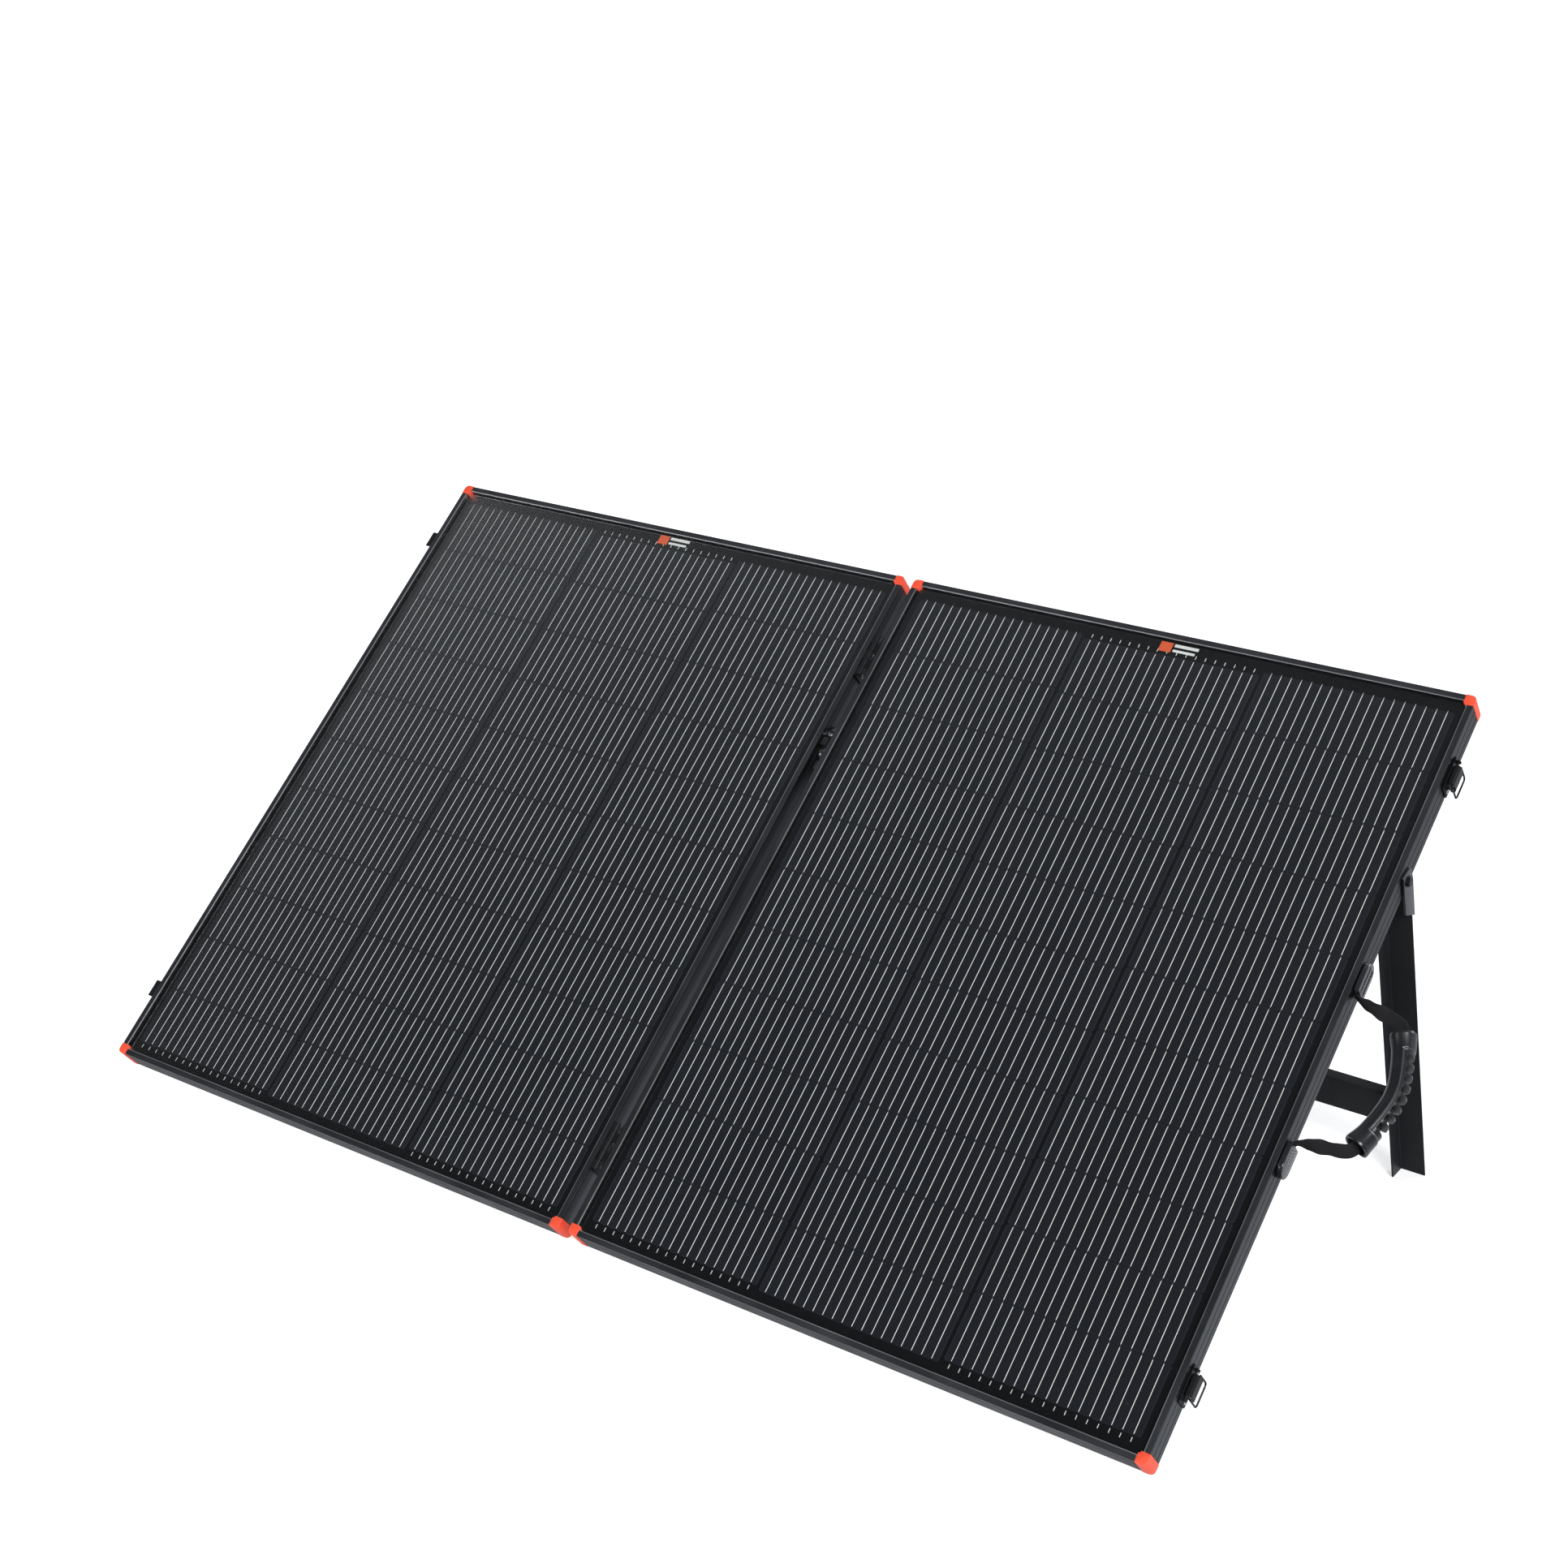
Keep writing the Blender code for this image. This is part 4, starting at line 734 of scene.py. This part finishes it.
# %% Caps
CAP_ARM = 9.8
CAP_WIDE = 8.1
PROUD = 0.4
cap_outline = [
    (-PROUD, -PROUD), (CAP_ARM, -PROUD), (CAP_ARM, CAP_WIDE),
    (CAP_WIDE, CAP_WIDE), (CAP_WIDE, CAP_ARM), (-PROUD, CAP_ARM),
]
cap_ring = rounded(cap_outline, [5.2, 0.4, 0.7, 0.5, 0.7, 0.4], 8)
for panel in SIDES:
    for end, up_sign, up_start in (("bottom", 1.0, 0.0), ("top", -1.0, PANEL_HEIGHT)):
        for side, across in (("outer", from_outer), ("inner", from_inner)):
            layers = slab(cap_ring, -FRAME_DEPTH - PROUD, PROUD, 0.35)
            u = across(panel, layers[..., 0])
            shape = on_panel(u, up_start + up_sign * layers[..., 1], layers[..., 2])
            name = f"{panel}_{end}_{side}_corner_cap"
            skin(f"{name}_moulding", shape, cap_plastic, f"{panel}_panel", "corner", [name])
print("caps", 8)

# %% [markdown]
# ## Hinges and latches
# The hinge leaves, the strikes and the toggle latches are pressed steel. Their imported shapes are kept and
# softened. What makes them read as hardware is their screws, so one pan-head screw is modelled well:
# a dome over a circle with a cross cut into it, as a height over radius and angle.


# %% Screws
def side_axes(panel):
    """Directions for a fitting on a panel's outer side: up the slope, and outwards."""
    up = np.array([0.0, np.cos(TILT), np.sin(TILT)])
    away = np.array([-1.0 if panel == "left" else 1.0, 0.0, 0.0])
    return up, away


def screws(name, places, away, upward, radius, height, body, finish=zinc, slot="zinc", turn=0.5):
    """Pan heads. The height over the share r of the radius is height * sqrt(1 - 0.8 r^2), less a cross
    where |x| or |y| is small.
    """
    share = np.concatenate([[0.06], np.linspace(0.12, 1.0, 11), [1.0]])
    angle = np.linspace(0.0, 2 * np.pi, 28, endpoint=False)
    r, a = np.meshgrid(share, angle, indexing="ij")
    x = r * np.cos(a)
    y = r * np.sin(a)
    along = np.cos(turn) * x + np.sin(turn) * y
    over = np.cos(turn) * y - np.sin(turn) * x
    arm = np.minimum(np.abs(along), np.abs(over))
    reach = np.maximum(np.abs(along), np.abs(over))
    cross = np.clip((0.17 - arm) / 0.05, 0, 1) * np.clip((0.66 - reach) / 0.08, 0, 1)
    tall = height * np.sqrt(1 - 0.8 * r**2) - 0.6 * height * cross
    tall[-1] = 0.0
    side = np.cross(upward, away)
    shape = (radius * (x[..., None] * side + y[..., None] * upward) + tall[..., None] * away).reshape(-1, 3)
    faces = grid_faces(*r.shape)[0].tolist() + end_faces(*r.shape)
    points, faces = many(0.001 * shape, faces, np.array(places))
    return finished(name, points, faces, finish, body, slot, angle=30.0)


LATCH_PLACES = {"lower": 74.5, "upper": 655.5}
up_axis, right_away = side_axes("right")
left_away = -right_away
for level, up in LATCH_PLACES.items():
    keep(black_steel, f"{level}_latch_base", f"{level}_latch_strike", f"{level}_latch_lever", edge=0.00022)
    keep(spring_wire, f"{level}_latch_bail")
    base_spots = on_panel(TOTAL_WIDTH + 1.5, [up - 13.0, up + 13.0, up], [-18.6, -18.6, -22.0])[:2]
    screws(f"{level}_latch_screws", base_spots, right_away, up_axis, 2.1, 1.1, "right_panel")
    strike_spots = on_panel(-1.5, [up - 11.5, up + 11.5], [-11.5, -11.5])
    screws(f"{level}_strike_screws", strike_spots, left_away, up_axis, 2.1, 1.1, "left_panel")
print("latches", sorted(LATCH_PLACES))

# %% Hinges
HINGE_PLACES = {"lower": 86.0, "upper": 635.5}
for level, up in HINGE_PLACES.items():
    keep(black_steel, f"{level}_hinge_left_leaf", f"{level}_hinge_right_leaf", edge=0.0002)
    spread = np.array([-18.0, -6.5, 6.5, 18.0])
    left_spots = on_panel(from_inner("left", -1.7), up + spread, -13.0)
    right_spots = on_panel(from_inner("right", -1.7), up + spread, -13.0)
    screws(f"{level}_hinge_left_screws", left_spots, right_away, up_axis, 1.9, 0.7, "left_panel")
    screws(f"{level}_hinge_right_screws", right_spots, left_away, up_axis, 1.9, 0.7, "right_panel")
print("hinges", sorted(HINGE_PLACES))

# %% [markdown]
# ## Stands
# A leg is sheet steel folded to an angle, so its corner is a bend with a radius and not a sharp edge. The
# section is carried down the leg, and each of its points stops where it meets the ground, which gives
# the slanted foot. The crossbar is the same kind of angle, laid between the legs.

# %% Legs and crossbars
PIVOT_UP = 548.5
PIVOT_OUT = -15.5
SHEET = 1.5
LEG_TOP = 6.7
LEG_WIDE = 25.0
LEG_BACK = 11.5
LEG_FRONT = -8.5


def on_stand(u, down, behind):
    """Room position of a point of the opened stand: from the pivot, down along the legs and behind them."""
    pivot = on_panel(u, PIVOT_UP, PIVOT_OUT)
    down = 0.001 * np.asarray(down, float)
    behind = 0.001 * np.asarray(behind, float)
    shift_y = -down * np.cos(LEAN) + behind * np.sin(LEAN)
    shift_z = -down * np.sin(LEAN) - behind * np.cos(LEAN)
    return pivot + np.stack(np.broadcast_arrays(0.0 * shift_y, shift_y, shift_z), axis=-1)


def ground_distance(behind):
    """How far down the leg z = 0 lies, for a point this far behind the pivot's line."""
    pivot_height = 1000.0 * on_panel(0.0, PIVOT_UP, PIVOT_OUT)[2]
    return (pivot_height - np.asarray(behind) * np.cos(LEAN)) / np.sin(LEAN)


inner = LEG_WIDE - SHEET
leg_section = [
    (0, LEG_BACK), (LEG_WIDE, LEG_BACK), (LEG_WIDE, LEG_FRONT),
    (inner, LEG_FRONT), (inner, LEG_BACK - SHEET), (0, LEG_BACK - SHEET),
]
leg_ring = rounded(leg_section, [0.35, 2.4, 0.35, 0.35, 0.9, 0.35], 6)
bar_top, bar_low = 270.7, 308.0
bar_section = [
    (bar_top, -1.0), (bar_low, -1.0), (bar_low, 0.5),
    (bar_top + SHEET, 0.5), (bar_top + SHEET, 10.0), (bar_top, 10.0),
]
bar_ring = rounded(bar_section, [2.2, 0.35, 0.35, 0.8, 0.35, 0.35], 6)
for panel in SIDES:
    stand = f"{panel}_stand"
    for side, across in (("outer", from_outer), ("inner", from_inner)):
        stops = np.linspace(0.0, 1.0, 14)[:, None]
        feet = ground_distance(leg_ring[:, 1])[None, :]
        down = -LEG_TOP + stops * (feet + LEG_TOP)
        shape = on_stand(across(panel, leg_ring[:, 0])[None, :], down, leg_ring[:, 1][None, :])
        skin(f"{panel}_{side}_folded_leg", shape, leg_coat, stand, "leg", [f"{stand}_{side}_leg"])
    reach = LEG_WIDE + 0.3
    ends = np.linspace(START[panel] + reach, START[panel] + PANEL_WIDTH - reach, 12)
    shape = on_stand(ends[:, None], bar_ring[:, 0][None, :], bar_ring[:, 1][None, :])
    skin(f"{panel}_folded_crossbar", shape, leg_coat, stand, "leg", [f"{stand}_crossbar"])
print("legs", 4, "crossbars", 2)

# %% [markdown]
# ## Pivot plates and bolts
# Each leg hangs on a bolt through the frame, with a brighter plate between them. The plate is a cut
# outline lifted into a slab. Its rim is hardly rounded, as it was sawn, and shows as a bright line. A
# dark washer lies under the head of the outer bolt.

# %% Pivots
OUTER_PLATE = [(-8.5, -7.5), (34, -6.5), (48, 11.5), (5, 11.5), (-9, 8.5)]
plate_ring = rounded(OUTER_PLATE, [2.0, 1.5, 0.7, 1.5, 2.0], 5)
for panel in SIDES:
    stand = f"{panel}_stand"
    layers = slab(plate_ring, -0.3, -2.3, 0.25, 3)
    shape = on_stand(from_outer(panel, layers[..., 2]), layers[..., 0], layers[..., 1])
    skin(f"{panel}_outer_sawn_plate", shape, plate_metal, stand, "plate", [f"{stand}_outer_pivot_plate"])
    keep(plate_metal, f"{stand}_inner_pivot_plate", edge=0.0002)
    keep(black_steel, f"{stand}_outer_pivot_bolt")
    keep(zinc, f"{stand}_inner_pivot_bolt")
    away = left_away if panel == "left" else right_away
    spot = on_panel(from_outer(panel, -2.7), PIVOT_UP, PIVOT_OUT)
    screws(f"{panel}_outer_pivot_head", [spot], away, up_axis, 3.0, 2.2, f"{panel}_panel")
    a = np.linspace(0.0, 2 * np.pi, 40, endpoint=False)
    washer = np.column_stack([5.6 * np.cos(a), 5.6 * np.sin(a)])
    layers = slab(washer, -2.32, -2.75, 0.12, 3)
    shape = on_stand(from_outer(panel, layers[..., 2]), layers[..., 0], layers[..., 1])
    skin(f"{panel}_outer_pivot_washer", shape, black_steel, stand, "plate")
print("pivots", 4)

# %% [markdown]
# ## Carrying handle
# The strap leaves its anchor gathered and narrow, spreads to its full width, and turns a little before it
# enters the grip. It is an oval section carried along one smooth line: as the strap narrows, it
# thickens by as much, because the webbing only folds. The grip is a swept oval too, with finger slots.

# %% The handle's middle line
HANDLE_UP = 362.0
HANDLE_SIDE = 3.3
HANDLE_OUT = -12.5
DROOP = np.radians(12.0)
ROUTE = np.array([
    (3.3, 71.4), (3.5, 70.0), (7.0, 67.8), (17.0, 65.5), (30.0, 63.2), (42.0, 60.6), (47.6, 56.8),
    (50.5, 50.0), (54.5, 40.0), (59.2, 25.0), (62.5, 10.0), (63.2, 0.0),
])


def smooth_line(points, count):
    """Points evenly spaced along a Catmull-Rom line: each stretch is the cubic that its two ends and their
    neighbours give.
    """
    points = np.asarray(points, float)
    padded = np.vstack([2 * points[0] - points[1], points, 2 * points[-1] - points[-2]])
    p0, p1, p2, p3 = (padded[k : len(padded) - 3 + k, None, :] for k in range(4))
    t = np.linspace(0.0, 1.0, 24, endpoint=False)[None, :, None]
    cubic = 2 * p1 + (p2 - p0) * t + (2 * p0 - 5 * p1 + 4 * p2 - p3) * t**2
    cubic = cubic + (3 * p1 - p0 - 3 * p2 + p3) * t**3
    dense = np.vstack([0.5 * cubic.reshape(-1, points.shape[1]), points[-1]])
    run = np.concatenate([[0.0], np.cumsum(np.linalg.norm(np.diff(dense, axis=0), axis=1))])
    even = np.linspace(0.0, run[-1], count)
    return np.column_stack([np.interp(even, run, dense[:, k]) for k in range(points.shape[1])]), even


def beside(line):
    """The unit vector square to a flat line at each of its points: its direction turned by a quarter."""
    steps = np.gradient(line, axis=0)
    steps = steps / np.linalg.norm(steps, axis=1)[:, None]
    return np.column_stack([steps[:, 1], -steps[:, 0]])


def on_handle(out, up, across):
    """Room position in the handle's own plane, which droops behind the panel's about the strap's ends."""
    out = np.asarray(out, float) - HANDLE_SIDE
    across = np.asarray(across, float)
    u = TOTAL_WIDTH + HANDLE_SIDE + out * np.cos(DROOP) + across * np.sin(DROOP)
    w = HANDLE_OUT - out * np.sin(DROOP) + across * np.cos(DROOP)
    return on_panel(u, HANDLE_UP + np.asarray(up, float), w)


half_line = ROUTE * [1.0, -1.0]
whole_line = np.vstack([half_line, ROUTE[-2::-1]])
strap_line, strap_run = smooth_line(whole_line, 220)
print("strap length", round(float(strap_run[-1]), 1), "mm")

# %% Strap
STRAP_HALF = 6.5
STRAP_SIDES = 40
normal = beside(strap_line)
wide = np.minimum(STRAP_HALF, 3.1 + 0.36 * (strap_line[:, 0] - HANDLE_SIDE))
thick = np.minimum(2.4, 0.9 * STRAP_HALF / wide)
share = np.clip((strap_line[:, 0] - HANDLE_SIDE) / 42.0, 0, 1)
free = np.clip((np.abs(strap_line[:, 1]) - 41.0) / 12.0, 0, 1)
turning = np.sin(0.5 * np.pi * np.clip(1.6 * share, 0, 1)) * free
twist = np.sign(strap_line[:, 1]) * np.radians(-44.0) * turning
ripple = (0.9 * np.sin(strap_run / 4.1) + 0.6 * np.sin(strap_run / 2.3 + 1.0)) * np.sin(np.pi * share)
angle = np.linspace(0.0, 2 * np.pi, STRAP_SIDES, endpoint=False)
flat_x = np.sign(np.cos(angle)) * np.abs(np.cos(angle)) ** 0.5
flat_y = np.sign(np.sin(angle)) * np.abs(np.sin(angle)) ** 0.8
side = thick[:, None] * flat_x[None] + ripple[:, None] * flat_y[None] ** 3
over = wide[:, None] * flat_y[None]
turned_side = side * np.cos(twist)[:, None] - over * np.sin(twist)[:, None]
turned_over = side * np.sin(twist)[:, None] + over * np.cos(twist)[:, None]
out = strap_line[:, 0, None] + turned_side * normal[:, 0, None]
up = strap_line[:, 1, None] + turned_side * normal[:, 1, None]
strap_rings = on_handle(out, up, turned_over)
quads, row, column = grid_faces(len(strap_line), STRAP_SIDES)
quarter = STRAP_SIDES / 4
turns = np.interp(np.arange(STRAP_SIDES + 1), [0, quarter, 3 * quarter, STRAP_SIDES], [0, 1, -1, 0])
fold = 0.001 * STRAP_HALF * turns
strap_uv = np.stack([0.001 * strap_run[row], fold[column]], axis=-1).reshape(-1, 2)
strap_uv = np.vstack([strap_uv, np.zeros((2 * STRAP_SIDES, 2))])
faces = quads.tolist() + end_faces(len(strap_line), STRAP_SIDES)
finished("webbing_strap", strap_rings, faces, webbing, "handle", "webbing", ["handle_strap"], strap_uv)
print("strap rings", strap_rings.shape[0])

# %% [markdown]
# The grip is thick and plain on the side of the palm. On the outer side eight slots are cut between
# finger ribs, and each end flares like a trumpet and opens into a mouth where the strap goes in. All
# of it is one radius over the place along the grip and the angle round it. The same numbers say where
# shade is painted dark, deep in a slot and in the mouths, and where a highlight is painted pale, on a rim.

# %% Grip
GRIP_HALF = 53.5
GRIP_SLOTS = 8
GRIP_SIDES = 96
GRIP_RINGS = 300
inside = np.abs(strap_line[:, 1]) < GRIP_HALF
grip_line, grip_run = smooth_line(strap_line[inside][::3], GRIP_RINGS)
place = grip_run / grip_run[-1] * 2 - 1
normal = beside(grip_line)
angle = np.linspace(-np.pi, np.pi, GRIP_SIDES, endpoint=False)
flare = 1.0 + 0.16 * np.clip((np.abs(place) - 0.66) / 0.34, 0, 1) ** 2
slot_phase = (place / 1.30 + 0.5) * GRIP_SLOTS
in_row = np.clip((0.66 - np.abs(place)) / 0.02, 0, 1)
wave = np.abs((slot_phase % 1.0) - 0.5)
slot_along = np.clip((0.35 - wave) / 0.07, 0, 1) * in_row
slot_round = np.clip((1.30 - np.abs(angle)) / 0.12, 0, 1)
bed_along = np.clip((0.74 - np.abs(place)) / 0.03, 0, 1)
bed_round = np.clip((1.62 - np.abs(angle)) / 0.07, 0, 1)
bed = bed_along[:, None] * bed_round[None]
lip = np.clip((np.abs(place) - 0.965) / 0.035, 0, 1)
pocket = slot_along[:, None] * slot_round[None]
sign = np.sign(np.cos(angle))
radial = 10.0 * flare[:, None] * (sign * np.abs(np.cos(angle)) ** 0.86)[None]
wide_now = 12.5 * flare[:, None] * (np.sign(np.sin(angle)) * np.abs(np.sin(angle)) ** 0.86)[None]
cut = 1.0 - 0.085 * bed - 0.60 * pocket - 0.05 * lip[:, None]
radial = radial * cut
wide_now = wide_now * (1.0 - 0.085 * bed - 0.52 * pocket - 0.04 * lip[:, None])
facing = 1.0 if normal[len(normal) // 2, 0] > 0 else -1.0
out = grip_line[:, 0, None] + facing * radial * normal[:, 0, None]
up = grip_line[:, 1, None] + facing * radial * normal[:, 1, None]
# A painted highlight share, strongest on the rims of the slots and of the bed.
rim_light = np.clip(4 * pocket * (1 - pocket) + 4 * bed * (1 - bed), 0, 1)
mouth_order = np.array([16, 0, 0])
mouth_shrink = np.array([0.66, 0.80, 0.94])
order = np.concatenate([mouth_order, np.arange(GRIP_RINGS), GRIP_RINGS - 1 - mouth_order[::-1]])
shrink = np.concatenate([mouth_shrink, np.ones(GRIP_RINGS), mouth_shrink[::-1]])[:, None]
# The mouth rings get painted shade in full, and no painted highlight.
dark = (shrink < 0.9).astype(float)
pocket = np.maximum(pocket[order], dark)
rim_light = rim_light[order] * (1 - dark)
middle = grip_line[order][:, :, None]
out = middle[:, 0] + shrink * (out[order] - middle[:, 0])
up = middle[:, 1] + shrink * (up[order] - middle[:, 1])
grip_rings = on_handle(out, up, shrink * wide_now[order])
quads, row, column = grid_faces(*pocket.shape)
shade = np.stack([pocket, rim_light], axis=-1)[row, column % pocket.shape[1]].reshape(-1, 2)
shade = np.vstack([shade, np.tile([1.0, 0.0], (2 * GRIP_SIDES, 1))])
faces = quads.tolist() + end_faces(*pocket.shape)
finished("ribbed_grip", grip_rings, faces, grip_plastic, "handle", "moulded", ["handle_grip"], shade, 30.0)
print("grip", grip_rings.shape)

# %% [markdown]
# The anchors are small glossy mouldings, square where the strap comes out and round at the far end. Two
# rows of slanted ridges stand on each one, worked out as a height over its outer face.

# %% Anchors
for level, way in (("lower", -1.0), ("upper", 1.0)):
    near = HANDLE_UP + way * 72.0
    radius = 10.25
    middle = -12.8
    centre = near + way * (30.0 - radius)
    arc = np.radians(np.linspace(-90.0, 90.0, 19))
    curve = np.column_stack([centre + way * radius * np.cos(arc), middle + radius * np.sin(arc)])
    corners = np.array([[near, middle + radius], [near, middle - radius]])
    layers = slab(np.vstack([curve, corners]), 0.3, 5.2, 0.9, 5)
    shape = on_panel(TOTAL_WIDTH + layers[..., 2], layers[..., 0], layers[..., 1])
    packed = [f"handle_{level}_anchor"]
    skin(f"{level}_anchor_moulding", shape, anchor_plastic, "right_panel", "moulded", packed)
    along = near + way * (2.5 + 2.75 * np.arange(9))
    rows = np.array([-5.6, 1.6])
    spot_v, spot_w = (part.ravel() for part in np.meshgrid(along, middle + rows + 2.0, indexing="ij"))
    t = np.linspace(-1.0, 1.0, 7)
    a = np.linspace(0.0, 2 * np.pi, 8, endpoint=False)
    body_radius = 0.75 * np.sqrt(1 - 0.9 * t**2)
    ridge_v = 1.3 * t[:, None] * way + body_radius[:, None] * np.cos(a)[None]
    ridge_w = 2.5 * t[:, None] - 0.3 * body_radius[:, None] * np.cos(a)[None]
    ridge_h = 5.05 + body_radius[:, None] * np.sin(a)[None]
    ridge = np.stack([ridge_v, ridge_w, ridge_h], axis=-1).reshape(-1, 3)
    faces = grid_faces(7, 8)[0].tolist() + [list(range(8)), list(range(48, 56))]
    flat, faces = many(ridge, faces, np.column_stack([spot_v, spot_w, 0 * spot_v]))
    flat = flat.reshape(-1, 3)
    points = on_panel(TOTAL_WIDTH + flat[:, 2], flat[:, 0], flat[:, 1])
    finished(f"{level}_anchor_ridges", points, faces, anchor_plastic, "right_panel", "moulded")
print("anchors", 2)

# %% [markdown]
# ## Wiring
# A black cable links the panels across the hinge gap and runs behind each panel to its junction box. It
# is a round tube along a smooth line. Only the short loop in the gap has to bend when the panels fold;
# it is left on no body, and the rest rides on its panel.


# %% Cables
def tube(line, radius, sides=16):
    """A ring of the given radius around each point of a line, square to it and lined up with one fixed
    direction, so that the rings don't twist.
    """
    step = np.gradient(line, axis=0)
    step = step / np.linalg.norm(step, axis=1)[:, None]
    helper = np.array([0.31, 0.52, 0.79])
    side = np.cross(step, helper)
    side = side / np.linalg.norm(side, axis=1)[:, None]
    over = np.cross(step, side)
    a = np.linspace(0.0, 2 * np.pi, sides, endpoint=False)
    radius = np.broadcast_to(np.asarray(radius, float), len(line))[:, None, None]
    ring = np.cos(a)[None, :, None] * side[:, None] + np.sin(a)[None, :, None] * over[:, None]
    return line[:, None] + radius * ring


CABLE = 2.0
loop_places = [
    (583.1, 531.7, -10.5), (583.5, 529.6, -9.6), (586.0, 523.0, -4.9),
    (588.5, 516.4, -9.6), (588.9, 514.3, -10.5),
]
loop_line, loop_run = smooth_line(loop_places, 60)
loop_rings = tube(on_panel(*loop_line.T), 0.001 * CABLE)
loop = skin("gap_cable", loop_rings, jacket, None, "jacket", ["hinge_cable_loop"])
left_end = tuple(on_panel(583.5, 523.0, -8.0))
right_end = tuple(on_panel(588.5, 523.0, -8.0))
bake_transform(loop)
for panel in SIDES:
    keep(jacket, f"{panel}_panel_cable")
    boxes = (f"{panel}_cable_outlet", f"{panel}_junction_box", f"{panel}_junction_box_lid")
    keep(box_plastic, *boxes, edge=0.0004)
print("loop length", round(float(loop_run[-1]), 1), "mm")
